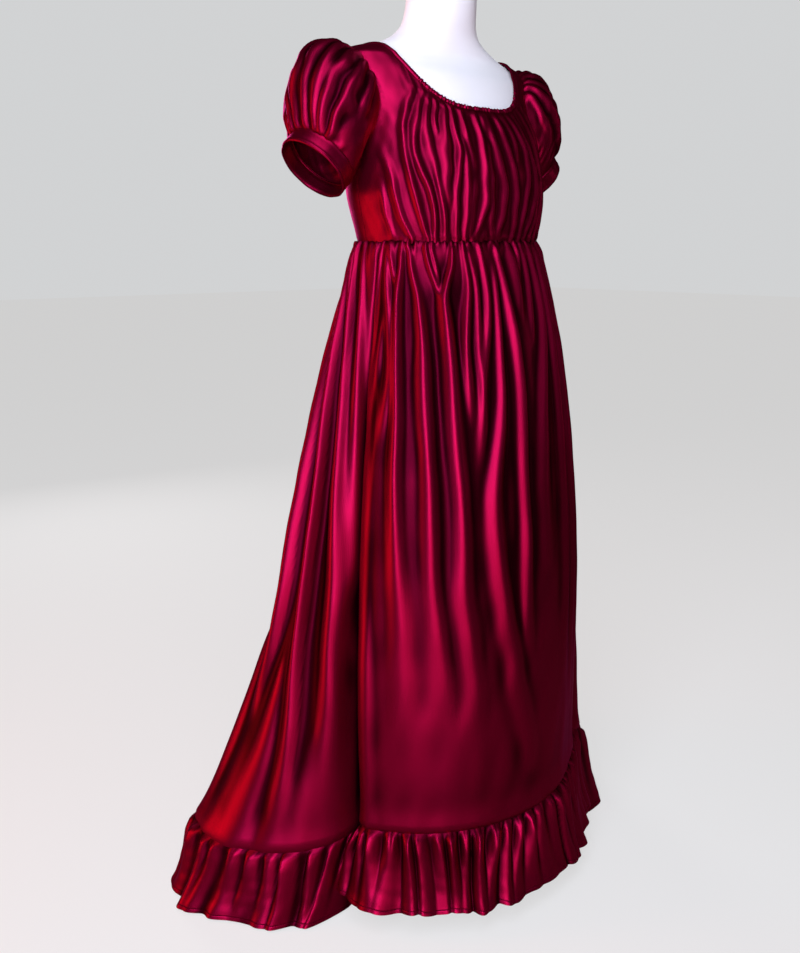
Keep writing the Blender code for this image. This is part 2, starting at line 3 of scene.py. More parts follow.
import bpy
import numpy as np
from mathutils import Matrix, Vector


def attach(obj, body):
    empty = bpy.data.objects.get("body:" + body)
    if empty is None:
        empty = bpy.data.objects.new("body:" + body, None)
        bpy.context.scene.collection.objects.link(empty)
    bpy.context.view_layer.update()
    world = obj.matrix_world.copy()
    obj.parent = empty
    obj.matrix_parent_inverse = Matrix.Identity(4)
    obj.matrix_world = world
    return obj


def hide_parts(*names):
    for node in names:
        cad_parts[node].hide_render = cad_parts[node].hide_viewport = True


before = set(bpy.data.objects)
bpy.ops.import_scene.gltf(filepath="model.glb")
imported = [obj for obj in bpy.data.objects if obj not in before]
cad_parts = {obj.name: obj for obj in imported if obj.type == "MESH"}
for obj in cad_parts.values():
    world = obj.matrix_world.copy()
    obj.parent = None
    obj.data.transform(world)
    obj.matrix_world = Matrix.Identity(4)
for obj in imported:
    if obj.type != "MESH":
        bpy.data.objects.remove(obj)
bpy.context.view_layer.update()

for leftover in ("Cube", "Light", "Camera"):
    if leftover in bpy.data.objects:
        bpy.data.objects.remove(bpy.data.objects[leftover], do_unlink=True)


# small helpers

def smoothStep(x):
    x = np.clip(x, 0.0, 1.0)
    return x * x * (3.0 - 2.0 * x)


def rowValue(rows, x, column):
    # a column of a table at x of its first column, by a cubic that never overshoots
    xs = np.array([row[0] for row in rows], float)
    ys = np.array([row[column] for row in rows], float)
    x = np.clip(x, xs[0], xs[-1])
    k = np.clip(np.searchsorted(xs, x, side="right") - 1, 0, len(xs) - 2)
    slopes = np.diff(ys) / np.diff(xs)
    tangents = np.zeros(len(xs))
    tangents[0], tangents[-1] = slopes[0], slopes[-1]
    for i in range(1, len(xs) - 1):
        if slopes[i - 1] * slopes[i] > 0.0:
            tangents[i] = 2.0 * slopes[i - 1] * slopes[i] / (slopes[i - 1] + slopes[i])
    step = xs[k + 1] - xs[k]
    t = (x - xs[k]) / step
    start = ys[k] * (1 + 2 * t) * (1 - t) ** 2 + step * tangents[k] * t * (1 - t) ** 2
    return start + ys[k + 1] * t * t * (3 - 2 * t) + step * tangents[k + 1] * t * t * (t - 1)


def signedPower(x, power):
    return np.sign(x) * np.abs(x) ** power


def unit(vectors):
    return vectors / (np.linalg.norm(vectors, axis=-1, keepdims=True) + 1e-12)


def ripple(u, v, seed, count=9, low=0.5, high=3.0):
    # soft unevenness between about -1 and 1, over two coordinates of the same scale
    rng = np.random.default_rng(seed)
    total = np.zeros(np.broadcast(u, v).shape)
    for _ in range(count):
        pace, turn, phase = rng.uniform(low, high), rng.uniform(0, 2 * math.pi), rng.uniform(0, 2 * math.pi)
        total = total + np.sin(2 * math.pi * pace * (u * math.cos(turn) + v * math.sin(turn)) + phase)
    return total / math.sqrt(count)


def soften(field, times=1, ring=False):
    # rounds off what is finer than the mesh can carry
    for _ in range(times):
        sides = (np.roll(field, 1, 1), np.roll(field, -1, 1)) if ring else (
            np.concatenate([field[:, :1], field[:, :-1]], 1), np.concatenate([field[:, 1:], field[:, -1:]], 1))
        field = field / 2 + (sides[0] + sides[1]) / 4
        field = field / 2 + (np.concatenate([field[:1], field[:-1]]) + np.concatenate([field[1:], field[-1:]])) / 4
    return field


def deepen(field, reach, much, ring=False):
    # raises the ridges and sinks the hollows between them, about their own local mean
    return field + much * (field - soften(field, reach, ring))


def paintedShadeOf(field, reach, depth, ring=False):
    # a mask for painted shade: 1 in the hollows between folds, 0 on the ridges and where the cloth is flat
    below = soften(field, reach, ring) - field
    folded = smoothStep(np.sqrt(soften(below * below, reach, ring)) / (0.35 * depth))
    return smoothStep(below / depth + 0.15) * folded


def seamJag(angle):
    # the underbust seam isn't quite even: the gathers pull it up and down
    return 0.0014 * np.sin(angle * 0.93 + 1.5 * np.sin(angle * 0.21)) + 0.0011 * np.sin(angle * 1.71 + 2.0)


def foldField(across, along, folds, blend=1.8, lean=1.12, wide=1.0):
    # folds as soft ridges: each row is (along, across, half width, rise), and ridges that meet merge
    total = np.zeros(np.broadcast(across, along).shape)
    for rows in folds.values():
        middle, half, rise = (rowValue(rows, along, i) for i in (1, 2, 3))
        away = (across - middle) / (half * wide)
        away = np.where(away > 0.0, away * lean, away / lean)
        shape = np.cos(np.pi / 2 * np.clip(away, -1, 1)) ** 1.7
        inside = (along >= rows[0][0]) & (along <= rows[-1][0])
        total = total + np.where(inside, np.maximum(rise, 0.0) * shape, 0.0) ** blend
    return total ** (1.0 / blend)


def gatherField(across, depth, spec, seed, blend=1.6):
    # fine gathers that start at a seam, each with its own length, width and slant
    rng = np.random.default_rng(seed)
    step = (spec["last"] - spec["first"]) / spec["count"]
    total = np.zeros(np.broadcast(across, depth).shape)
    for i in range(spec["count"]):
        middle = spec["first"] + step * (i + 0.5 + rng.uniform(-0.3, 0.3))
        length = rng.uniform(*spec["length"])
        slant = rng.uniform(-0.9, 0.9) * step
        half = step * rng.uniform(0.36, 0.62)
        rise = spec["rise"] * rng.uniform(0.55, 1.25)
        share = np.clip(depth / length, 0.0, 1.0)
        away = np.clip((across - middle - slant * share) / (half * (1.0 + 0.9 * share)), -1, 1)
        fade = (1.0 - smoothStep(share)) * (0.7 + 0.3 * smoothStep(depth / spec["swell"]))
        total = total + (rise * fade * np.cos(np.pi / 2 * away) ** 1.5) ** blend
    return total ** (1.0 / blend)


def addPiece(name, mesh):
    piece = bpy.data.objects.new(name, mesh)
    bpy.context.scene.collection.objects.link(piece)
    bpy.ops.object.select_all(action="DESELECT")
    piece.select_set(True)
    bpy.context.view_layer.objects.active = piece
    return piece


def sheetMesh(name, grid, uv, ring=False, thickness=0.0008, outward=1.0, paintedShade=None):
    # a grid of points as one sheet with its flat cut in the UV map, then given its thickness
    rows, columns = grid.shape[:2]
    index = np.arange(rows * columns).reshape(rows, columns)
    if ring:
        index = np.concatenate([index, index[:, :1]], axis=1)
    a, b, c, d = index[:-1, :-1], index[:-1, 1:], index[1:, 1:], index[1:, :-1]
    quads = np.stack([a, b, c, d], -1).reshape(-1, 4)
    if outward < 0:
        quads = quads[:, ::-1]
    mesh = bpy.data.meshes.new(name)
    mesh.from_pydata(grid.reshape(-1, 3).tolist(), [], quads.tolist())
    layer = mesh.uv_layers.new(name="cut")
    wide = uv if not ring else np.concatenate([uv, uv[:, :1] + [[uv[0, -1, 0] + uv[0, 1, 0], 0.0]]], axis=1)
    corners = [wide[:-1, :-1], wide[:-1, 1:], wide[1:, 1:], wide[1:, :-1]]
    if outward < 0:
        corners = corners[::-1]
    flat = np.stack(corners, 2).reshape(-1, 2)
    layer.data.foreach_set("uv", flat.astype(np.float32).ravel())
    # the mask of painted shade, kept on the mesh for its material
    if paintedShade is not None:
        mask = mesh.attributes.new("paintedShade", "FLOAT", "POINT")
        mask.data.foreach_set("value", paintedShade.astype(np.float32).ravel())
    piece = addPiece(name, mesh)
    if thickness > 0.0:
        wall = piece.modifiers.new("wall", "SOLIDIFY")
        wall.thickness, wall.offset, wall.use_rim = thickness, -1.0, True
        bpy.ops.object.modifier_apply(modifier=wall.name)
    bpy.ops.object.shade_smooth_by_angle(angle=math.radians(85))
    piece.select_set(False)
    return piece


def cutMap(rows, columns, width, length):
    # the flat cut in metres: u across the sheet, v along it from its first row
    u, v = np.meshgrid(np.linspace(0, width, columns), np.linspace(0, length, rows))
    return np.stack([u, v], -1)


# the form under the gown, and the sizes that the cloth shares with it

body = {
    "sections": [  # height, y of the centre, half width, depth in front, depth behind
        (0.720, 0.005, 0.150, 0.105, 0.112), (0.800, 0.008, 0.166, 0.114, 0.122),
        (0.900, 0.005, 0.150, 0.110, 0.104), (1.000, 0.000, 0.130, 0.108, 0.082),
        (1.108, 0.000, 0.155, 0.130, 0.084), (1.190, 0.005, 0.170, 0.137, 0.100),
        (1.260, 0.014, 0.172, 0.130, 0.100), (1.315, 0.023, 0.177, 0.110, 0.096),
        (1.358, 0.027, 0.185, 0.088, 0.084), (1.379, 0.028, 0.185, 0.072, 0.073),
        (1.389, 0.028, 0.167, 0.064, 0.066), (1.399, 0.026, 0.132, 0.059, 0.062),
        (1.411, 0.023, 0.100, 0.056, 0.058), (1.424, 0.019, 0.077, 0.054, 0.055),
        (1.442, 0.013, 0.063, 0.053, 0.053), (1.470, 0.008, 0.058, 0.053, 0.053),
        (1.500, 0.006, 0.056, 0.053, 0.053),
    ],
    "squareness": 0.92,
    "inset": 0.0012,  # the cover lies this far inside the shape that the cloth is hung on
    "shoulderInset": 0.0034,
    "shoulderHeight": 1.380,
    "shoulderReach": 0.026,
    "around": 144,
    "rowsPerSection": 9,
}
seatGap, clothWall, underbust = 0.0003, 0.0015, 1.108


def bodyPlace(angle, height):
    centre, width, front, back = (rowValue(body["sections"], height, i) for i in (1, 2, 3, 4))
    s, c = np.sin(np.radians(angle)), np.cos(np.radians(angle))
    depth = np.where(c > 0, front, back)
    x = width * signedPower(s, body["squareness"])
    y = centre - depth * signedPower(c, body["squareness"])
    return np.stack(np.broadcast_arrays(x, y, height), -1)


def bodyPoint(angle, height, out):
    across = bodyPlace(angle + 0.5, height) - bodyPlace(angle - 0.5, height)
    up = bodyPlace(angle, height + 0.001) - bodyPlace(angle, height - 0.001)
    return bodyPlace(angle, height) + unit(np.cross(across, up)) * np.asarray(out)[..., None]


def heightOfHalfWidth(width):
    low, high = body["shoulderHeight"], body["sections"][-1][0]
    for _ in range(40):
        middle = (low + high) / 2
        if rowValue(body["sections"], middle, 2) > width:
            low = middle
        else:
            high = middle
    return low


def angleOfX(x, height):
    share = np.minimum(1.0, np.abs(x) / rowValue(body["sections"], height, 2))
    return np.degrees(np.arcsin(share ** (1.0 / body["squareness"])))


def angleOfY(y, height):
    centre, front, back = (rowValue(body["sections"], height, i) for i in (1, 3, 4))
    rise = centre - y
    share = np.minimum(1.0, np.abs(rise) / np.where(rise > 0, front, back))
    turn = np.degrees(np.arcsin(share ** (1.0 / body["squareness"])))
    return np.where(rise > 0, 90.0 - turn, 90.0 + turn)


def formPiece():
    heights = []
    for low, high in zip(body["sections"], body["sections"][1:]):
        heights += list(np.linspace(low[0], high[0], body["rowsPerSection"], endpoint=False))
    heights.append(body["sections"][-1][0])
    heights = np.array(heights)[:, None]
    turns = np.linspace(0, 360, body["around"], endpoint=False)[None, :]
    nearTip = smoothStep(1.0 - np.abs(heights - body["shoulderHeight"]) / body["shoulderReach"])
    inset = body["inset"] + body["shoulderInset"] * nearTip
    grid = bodyPoint(turns + 0 * heights, heights + 0 * turns, -inset + 0 * turns)
    rows, columns = grid.shape[:2]
    vertices = grid.reshape(-1, 3).tolist()
    index = np.arange(rows * columns).reshape(rows, columns)
    index = np.concatenate([index, index[:, :1]], axis=1)
    quads = np.stack([index[:-1, :-1], index[:-1, 1:], index[1:, 1:], index[1:, :-1]], -1).reshape(-1, 4).tolist()
    quads.append(index[0, :-1][::-1].tolist())
    quads.append(index[-1, :-1].tolist())
    mesh = bpy.data.meshes.new("form_body")
    mesh.from_pydata(vertices, [], quads)
    piece = addPiece("form_body", mesh)
    bpy.ops.object.shade_smooth_by_angle(angle=math.radians(40))
    piece.select_set(False)
    return piece


# bodice

bodice = {
    "ease": 0.004, "easeTop": 1.30,
    "neckHalfWidth": 0.138, "neckFront": 1.300, "neckBack": 1.345, "neckRound": 3.6,
    "armholeMiddle": 1.313, "armholeHalfDepth": 0.052, "armholeHalfHeight": 0.067,
    "sideFade": 1.4, "upperFade": 4.0, "seamAngle": 0.02,
    "sideRows": 4, "armholeRows": 7, "shoulderColumns": 2,
    "frontHalf": 15, "backHalf": 11,
    "rowsPerStep": 11, "frontPerStep": 10, "backPerStep": 6,
    "pinch": 0.0012, "pinchReach": 0.0030, "spring": 0.0008, "springReach": 0.020,
    "underSeam": 0.002, "neckDrop": ([0, 12, 25, 40, 60, 90], [0, 0, 0.003, 0.016, 0.050, 0.095]),
    "sewnFlat": 0.05, "gatheredTo": 70, "foldHeight": 1.15, "paintedShadeDepth": 0.0013, "deepen": 0.25, "lowest": 0.0010,
    "foldShape": {"blend": 2.2, "lean": 1.2, "wide": 1.32}, "gatherShare": {"underbust": 0.8, "neck": 0.6},
    "seeds": {"front": (4, 11, 12, 30), "back": (5, 21, 22, 31)},  # sway, low gathers, neck gathers, unevenness
}
bodiceFolds = {  # height, angle from the front, half width in degrees, rise in metres
    "side": [(1.112, -69, 2.0, 0.0020), (1.145, -71, 2.4, 0.0030), (1.175, -72, 2.6, 0.0022),
        (1.20, -73, 3.0, 0)],
    "crossOne": [(1.108, -56, 2.2, 0.0030), (1.145, -61.5, 2.6, 0.0045), (1.182, -64, 2.8, 0.0045),
        (1.21, -66, 3.0, 0.0035), (1.235, -69, 3.4, 0.0012), (1.25, -70, 3.4, 0)],
    "lineThree": [(1.108, -46.5, 1.8, 0.0030), (1.138, -49.7, 2.1, 0.0042), (1.175, -51.8, 2.3, 0.0048),
        (1.208, -54, 2.4, 0.0050), (1.237, -54.6, 2.5, 0.0050), (1.267, -53.5, 2.6, 0.0045),
        (1.297, -48, 2.8, 0.0040), (1.333, -38.5, 2.6, 0.0020)],
    "lineFour": [(1.108, -43, 1.6, 0.0030), (1.152, -41.7, 2.0, 0.0050), (1.178, -42.9, 2.3, 0.0055),
        (1.208, -47.0, 2.6, 0.0052), (1.237, -49.0, 2.8, 0.0050), (1.267, -47.0, 3.4, 0.0048),
        (1.297, -41.5, 3.2, 0.0040), (1.326, -33.5, 2.4, 0.0020)],
    "lineFive": [(1.108, -36.5, 1.5, 0.0025), (1.15, -36.0, 1.9, 0.0045), (1.2, -38.0, 2.2, 0.0045),
        (1.237, -39.8, 3.6, 0.0040), (1.267, -40.5, 3.6, 0.0040), (1.297, -36.0, 2.4, 0.0035),
        (1.319, -31.0, 1.8, 0.0020)],
    "lineSix": [(1.145, -32.5, 2.0, 0), (1.182, -32.7, 3.0, 0.0040), (1.237, -31.5, 4.0, 0.0055),
        (1.274, -29.0, 2.6, 0.0050), (1.305, -25.5, 1.6, 0.0025)],
    "gatherSixA": [(1.245, -34.5, 1.6, 0), (1.27, -34.5, 1.6, 0.0030), (1.312, -28.5, 1.4, 0.0025)],
    "lineSeven": [(1.108, -29.8, 1.6, 0.0030), (1.15, -29.3, 1.9, 0.0048), (1.182, -28.0, 1.9, 0.0055),
        (1.215, -25.6, 1.9, 0.0058), (1.245, -24.0, 1.9, 0.0055), (1.274, -24.4, 1.8, 0.0045),
        (1.308, -21.6, 1.4, 0.0025)],
    "lineNine": [(1.205, -16.5, 1.5, 0), (1.235, -17.2, 1.6, 0.0035), (1.267, -17.8, 1.6, 0.0040),
        (1.302, -15.6, 1.3, 0.0022)],
    "lineTen": [(1.108, -24.4, 1.5, 0.0030), (1.15, -22.4, 1.8, 0.0045), (1.2, -21.3, 1.9, 0.0050),
        (1.245, -20.6, 1.6, 0.0030), (1.265, -20.4, 1.4, 0)],
    "lineEleven": [(1.108, -19.0, 1.5, 0.0025), (1.126, -15.6, 1.6, 0.0040), (1.16, -11.8, 1.8, 0.0055),
        (1.197, -10.6, 1.9, 0.0060), (1.234, -9.7, 1.9, 0.0058), (1.271, -9.6, 1.7, 0.0050),
        (1.302, -8.5, 1.4, 0.0025)],
    "lineThirteen": [(1.112, -20.8, 1.3, 0.0020), (1.14, -20.0, 1.4, 0.0035), (1.175, -18.0, 1.5, 0.0030),
        (1.2, -16.5, 1.4, 0)],
    "lineTwelve": [(1.262, -5.0, 1.4, 0), (1.28, -5.0, 1.3, 0.0030), (1.302, -5.4, 1.2, 0.0020)],
    "lineFifteen": [(1.115, -7.0, 1.3, 0.0022), (1.145, -8.0, 1.5, 0.0035), (1.204, -7.0, 1.6, 0.0038),
        (1.245, -6.2, 1.5, 0.0022), (1.26, -6.0, 1.4, 0)],
    "lineFourteen": [(1.108, -4.4, 1.5, 0.0030), (1.145, -1.0, 1.8, 0.0050), (1.18, 0.6, 2.1, 0.0055),
        (1.215, -0.4, 2.2, 0.0055), (1.25, -2.0, 2.0, 0.0048), (1.302, -3.2, 1.4, 0.0025)],
    "lineSixteen": [(1.108, 6.0, 1.5, 0.0030), (1.15, 7.4, 1.9, 0.0050), (1.2, 8.2, 2.0, 0.0055),
        (1.235, 6.4, 1.9, 0.0050), (1.27, 4.2, 1.7, 0.0045), (1.302, 2.8, 1.4, 0.0025)],
    "lineSeventeen": [(1.225, 13.5, 1.8, 0), (1.255, 12.5, 1.8, 0.0035), (1.302, 7.0, 1.5, 0.0022)],
    "lineEighteen": [(1.108, 11.5, 1.5, 0.0028), (1.14, 14.0, 1.8, 0.0048), (1.175, 17.0, 2.0, 0.0055),
        (1.21, 20.0, 2.1, 0.0055), (1.24, 21.0, 2.0, 0.0050), (1.27, 17.5, 1.9, 0.0045),
        (1.304, 11.5, 1.5, 0.0025)],
    "lineNineteen": [(1.108, 17.0, 1.5, 0.0028), (1.14, 22.0, 1.9, 0.0048), (1.18, 28.0, 2.2, 0.0055),
        (1.21, 30.0, 2.3, 0.0050), (1.245, 27.5, 2.0, 0.0038), (1.27, 23.5, 1.8, 0.0025),
        (1.30, 18.5, 1.5, 0.0018)],
    "lineTwenty": [(1.108, 25.0, 1.6, 0.0026), (1.15, 29.5, 2.0, 0.0040), (1.19, 34.5, 2.2, 0.0040),
        (1.22, 37.0, 2.2, 0)],
    "lineTwentyOne": [(1.108, 32.0, 1.7, 0.0026), (1.15, 36.0, 2.0, 0.0045), (1.2, 40.0, 2.4, 0.0050),
        (1.245, 39.0, 2.4, 0.0045), (1.28, 33.0, 2.2, 0.0035), (1.312, 26.0, 1.6, 0.0020)],
    "lineTwentyTwo": [(1.108, 41.0, 1.8, 0.0026), (1.15, 44.5, 2.2, 0.0045), (1.2, 49.0, 2.5, 0.0050),
        (1.245, 49.5, 2.6, 0.0048), (1.285, 43.0, 2.8, 0.0040), (1.322, 33.0, 2.0, 0.0018)],
    "lineTwentyThree": [(1.108, 50.0, 2.0, 0.0024), (1.15, 54.0, 2.4, 0.0040), (1.2, 57.5, 2.8, 0.0038),
        (1.24, 59.5, 3.0, 0)],
    "leftSide": [(1.108, 62.0, 2.2, 0.0022), (1.15, 66.0, 2.8, 0.0035), (1.2, 69.0, 3.0, 0.0024),
        (1.225, 70.0, 3.0, 0)],
}
bodiceGathers = {
    "underbust": {"first": -68, "last": 64, "count": 40, "rise": 0.0030, "length": (0.006, 0.022), "swell": 0.001},
    "neck": {"first": -47, "last": 47, "count": 26, "rise": 0.0018, "length": (0.008, 0.032), "swell": 0.002},
    "backWaist": {"first": -58, "last": 58, "count": 34, "rise": 0.0018, "length": (0.010, 0.040), "swell": 0.004},
    "backNeck": {"first": -40, "last": 40, "count": 24, "rise": 0.0016, "length": (0.010, 0.030), "swell": 0.003},
}
backFolds = {
    "a": [(1.108, -50, 2.4, 0.0020), (1.16, -47, 3.0, 0.0030), (1.22, -43, 3.4, 0.0022), (1.27, -40, 3.6, 0)],
    "b": [(1.108, -36, 2.2, 0.0020), (1.17, -34, 2.8, 0.0034), (1.25, -31, 3.2, 0.0028),
        (1.345, -27, 2.2, 0.0014)],
    "c": [(1.108, -21, 2.0, 0.0022), (1.18, -20, 2.6, 0.0032), (1.26, -18, 2.8, 0.0032),
        (1.345, -16, 2.0, 0.0016)],
    "d": [(1.108, -7, 2.0, 0.0020), (1.15, -6, 2.4, 0.0030), (1.21, -7, 2.6, 0.0016), (1.24, -7, 2.6, 0)],
    "e": [(1.12, 4, 2.0, 0), (1.17, 5, 2.4, 0.0024), (1.27, 5, 2.8, 0.0032), (1.345, 4, 2.0, 0.0016)],
    "f": [(1.108, 16, 2.0, 0.0022), (1.18, 18, 2.6, 0.0034), (1.26, 19, 2.8, 0.0026), (1.345, 17, 2.0, 0.0014)],
    "g": [(1.108, 33, 2.2, 0.0020), (1.17, 33, 2.8, 0.0030), (1.24, 31, 3.2, 0.0024), (1.3, 30, 3.2, 0)],
    "h": [(1.108, 48, 2.4, 0.0020), (1.17, 46, 3.0, 0.0030), (1.24, 42, 3.4, 0.0018), (1.28, 40, 3.4, 0)],
}


def neckline(part, behind, grow):
    lowest = (bodice["neckBack"] if behind else bodice["neckFront"]) - grow
    width = bodice["neckHalfWidth"] + grow
    x = width * np.cos(part * np.pi / 2)
    height = lowest + (heightOfHalfWidth(width) - lowest) * (x / width) ** bodice["neckRound"]
    angle = np.where(part <= 0.0, 90.0, angleOfX(x, height))
    return (180.0 - angle if behind else angle), height


def armhole(turn, grow=0.0):
    z = bodice["armholeMiddle"] - (bodice["armholeHalfHeight"] + grow) * np.cos(np.radians(turn))
    centre = rowValue(body["sections"], z, 1)
    y = centre - (bodice["armholeHalfDepth"] + grow) * np.sin(np.radians(turn))
    return angleOfY(y, z), z


def panelPlace(behind, perStep):
    # angle and height over half a panel, column 0 at its side, between its four bent edges
    half = bodice["backHalf"] if behind else bodice["frontHalf"]
    rows = bodice["sideRows"] + bodice["armholeRows"]
    row = np.linspace(0, rows, rows * bodice["rowsPerStep"] + 1)
    column = np.linspace(0, half, half * perStep + 1)
    low, middle = underbust + seatGap, (180.0 if behind else 0.0)
    holeTurn = 180.0 * np.clip(row - bodice["sideRows"], 0, None) / bodice["armholeRows"]
    holeAngle, holeHeight = armhole(-holeTurn if behind else holeTurn)
    foot = armhole(0.0)[1]
    onSide = row <= bodice["sideRows"]
    sideHeight = low + (foot - low) * row / bodice["sideRows"]
    left = (np.where(onSide, 90.0, holeAngle), np.where(onSide, sideHeight, holeHeight))
    tip, neck = armhole(180.0)[1], heightOfHalfWidth(bodice["neckHalfWidth"] + 0.0002)
    part = np.clip((column - bodice["shoulderColumns"]) / (half - bodice["shoulderColumns"]), 0, 1)
    neckAngle, neckHeight = neckline(part, behind, 0.0002)
    onShoulder = column <= bodice["shoulderColumns"]
    shoulderHeight = tip + (neck - tip) * column / bodice["shoulderColumns"]
    top = (np.where(onShoulder, 90.0, neckAngle), np.where(onShoulder, shoulderHeight, neckHeight))
    u, v = (column / half)[None, :], (row / rows)[:, None]
    sideBend, upperBend = (1 - u) ** bodice["sideFade"], v ** bodice["upperFade"]
    places = []
    for i, footSide, footMiddle in ((0, 90.0, middle), (1, low, low)):
        edge, upper = left[i][:, None], top[i][None, :]
        straightLeft = footSide + (left[i][-1] - footSide) * v
        straightRight = footMiddle + (top[i][-1] - footMiddle) * v
        straightTop = left[i][-1] + (top[i][-1] - left[i][-1]) * u
        flat = straightLeft + (straightRight - straightLeft) * u
        places.append(flat + sideBend * (edge - straightLeft) + upperBend * (upper - straightTop))
    return places[0], places[1], u, v


def bodiceEase(height):
    low = smoothStep((bodice["easeTop"] - height) / (bodice["easeTop"] - underbust))
    return seatGap + clothWall + bodice["ease"] * low


def bodicePanel(name, behind, width, length):
    angle, height, u, v = panelPlace(behind, bodice["backPerStep" if behind else "frontPerStep"])
    edge = bodice["seamAngle"]
    angle = np.maximum(angle, 90.0 + edge) if behind else np.minimum(angle, 90.0 - edge)
    # both halves side by side, from the wearer's right to the left
    angle = np.concatenate([-angle, angle[:, ::-1][:, 1:]], axis=1)
    height = np.concatenate([height, height[:, ::-1][:, 1:]], axis=1)
    u = np.concatenate([u, u[:, ::-1][:, 1:]], axis=1)
    v = v + 0 * angle
    turn = np.where(angle < 0, angle + 360, angle) - 180 if behind else angle
    above = height - (underbust + seatGap)
    swaySeed, lowSeed, neckSeed, roughSeed = bodice["seeds"]["back" if behind else "front"]
    wobble = ripple(turn / 30, height * 9, swaySeed) * 0.7
    neckDrop = np.interp(np.abs(turn), *bodice["neckDrop"])
    neckLine = bodice["neckBack"] + neckDrop * 0.5 if behind else bodice["neckFront"] + neckDrop
    fromNeck = np.maximum(neckLine - height, 0.0)
    if behind:
        field = foldField(turn + wobble, height, backFolds)
        field = field + gatherField(turn, above, bodiceGathers["backWaist"], lowSeed)
        field = field + gatherField(turn, fromNeck, bodiceGathers["backNeck"], neckSeed)
    else:
        field = bodice["foldHeight"] * foldField(turn + wobble * 0.5, height, bodiceFolds, **bodice["foldShape"])
        for seam, depth, seed in (("underbust", above, lowSeed), ("neck", fromNeck, neckSeed)):
            field = field + gatherField(turn, depth, bodiceGathers[seam], seed) * bodice["gatherShare"][seam]
    gathered = smoothStep((bodice["gatheredTo"] - np.abs(turn)) / 12)
    field = field + bodice["spring"] * gathered * smoothStep(above / bodice["springReach"])
    field = field + 0.0003 * ripple(turn / 20, height * 14, roughSeed)
    # the side, armhole, shoulder and neck stay flat where they are sewn
    field = field * smoothStep(u / bodice["sewnFlat"]) * (1.0 - 0.9 * smoothStep((v - 0.93) / 0.07))
    # painted shade for the hollows between the folds
    paintedShade = paintedShadeOf(soften(field, 3), 30, bodice["paintedShadeDepth"])
    out = bodiceEase(height) + np.maximum(deepen(soften(field, 4), 24, bodice["deepen"]), -bodice["lowest"])
    out = out - bodice["pinch"] * np.exp(-((above / bodice["pinchReach"]) ** 2))
    grid = bodyPoint(angle, height, out)
    grid[..., 2] += seamJag(turn) * (0 if behind else 1) * gathered * (1 - smoothStep(above / 0.012))
    grid[0, :, 2] -= bodice["underSeam"]
    uv = cutMap(grid.shape[0], grid.shape[1], width, length)
    paintedShade = paintedShade * (0.62 + 0.2 * smoothStep((turn + 30) / 50))  # painted shade, weaker on the lit side
    return sheetMesh(name, grid, uv, outward=1.0, paintedShade=paintedShade)


# neck casing

casing = {
    "steps": 720, "ring": 12, "width": 0.0075, "depth": 0.0034, "seat": -0.0002, "drop": 0.0004,
    "ruchePitch": 0.0062, "rucheRise": 0.0014, "smoothPart": 0.36,
}


def casingPiece():
    quarter = casing["steps"] // 4
    part = np.arange(quarter) / quarter
    frontOne, frontTwo = neckline(1.0 - part, False, 0.0), neckline(part, False, 0.0)
    backOne, backTwo = neckline(part, True, 0.0), neckline(1.0 - part, True, 0.0)
    angle = np.concatenate([frontOne[0], backOne[0], -backTwo[0], -frontTwo[0]])
    height = np.concatenate([frontOne[1], backOne[1], backTwo[1], frontTwo[1]])
    parts = np.concatenate([1.0 - part, part, 1.0 - part, part])
    inner = bodyPoint(angle, height, casing["seat"] + 0 * angle)
    outward = unit(bodyPoint(angle, height, 0.004 + 0 * angle) - inner)
    run = unit(np.roll(inner, -1, axis=0) - np.roll(inner, 1, axis=0))
    rise = unit(np.cross(outward, run))
    rise = np.where(rise[:, 2:] < 0, -rise, rise)
    length = np.concatenate([[0], np.cumsum(np.linalg.norm(np.diff(inner, axis=0), axis=1))])
    ruched = smoothStep((parts - casing["smoothPart"]) / 0.12)
    beat = 2 * np.pi * length / casing["ruchePitch"]
    beat = beat + 1.3 * np.sin(beat * 0.213) + 0.9 * np.sin(beat * 0.377 + 1.0)
    swell = ruched * casing["rucheRise"] * (0.6 + 0.4 * np.sin(beat * 0.31)) * np.sin(beat)
    turn = np.linspace(0, 2 * np.pi, casing["ring"], endpoint=False)
    grid = []
    for a in turn:
        lift = casing["width"] * (0.5 - 0.5 * np.cos(a)) + swell * (-math.cos(a)) * 0.9
        away = casing["depth"] * max(0.0, math.sin(a)) ** 0.7 + swell * math.sin(a) if math.sin(a) > 0 else 0.0
        away = np.asarray(away + 0.0 * length)
        grid.append(inner + rise * np.asarray(lift - casing["drop"])[..., None] + outward * away[..., None])
    grid = np.stack(grid, 0)
    rows = grid.shape[0]
    index = np.arange(rows * grid.shape[1]).reshape(rows, -1)
    index = np.concatenate([index, index[:1]], axis=0)
    index = np.concatenate([index, index[:, :1]], axis=1)
    quads = np.stack([index[:-1, :-1], index[1:, :-1], index[1:, 1:], index[:-1, 1:]], -1).reshape(-1, 4)
    mesh = bpy.data.meshes.new("neckCasing")
    mesh.from_pydata(grid.reshape(-1, 3).tolist(), [], quads.tolist())
    layer = mesh.uv_layers.new(name="cut")
    u = np.concatenate([length, [length[-1] + length[1]]])
    v = np.linspace(0, casing["width"] * 2.4, rows + 1)
    uv = np.stack(np.meshgrid(u, v), -1)
    corners = np.stack([uv[:-1, :-1], uv[1:, :-1], uv[1:, 1:], uv[:-1, 1:]], 2).reshape(-1, 2)
    layer.data.foreach_set("uv", corners.astype(np.float32).ravel())
    piece = addPiece("neckCasing", mesh)
    bpy.ops.object.mode_set(mode="EDIT")
    bpy.ops.mesh.select_all(action="SELECT")
    bpy.ops.mesh.normals_make_consistent(inside=False)
    bpy.ops.object.mode_set(mode="OBJECT")
    bpy.ops.object.shade_smooth()
    piece.select_set(False)
    return piece


# sleeves and cuffs

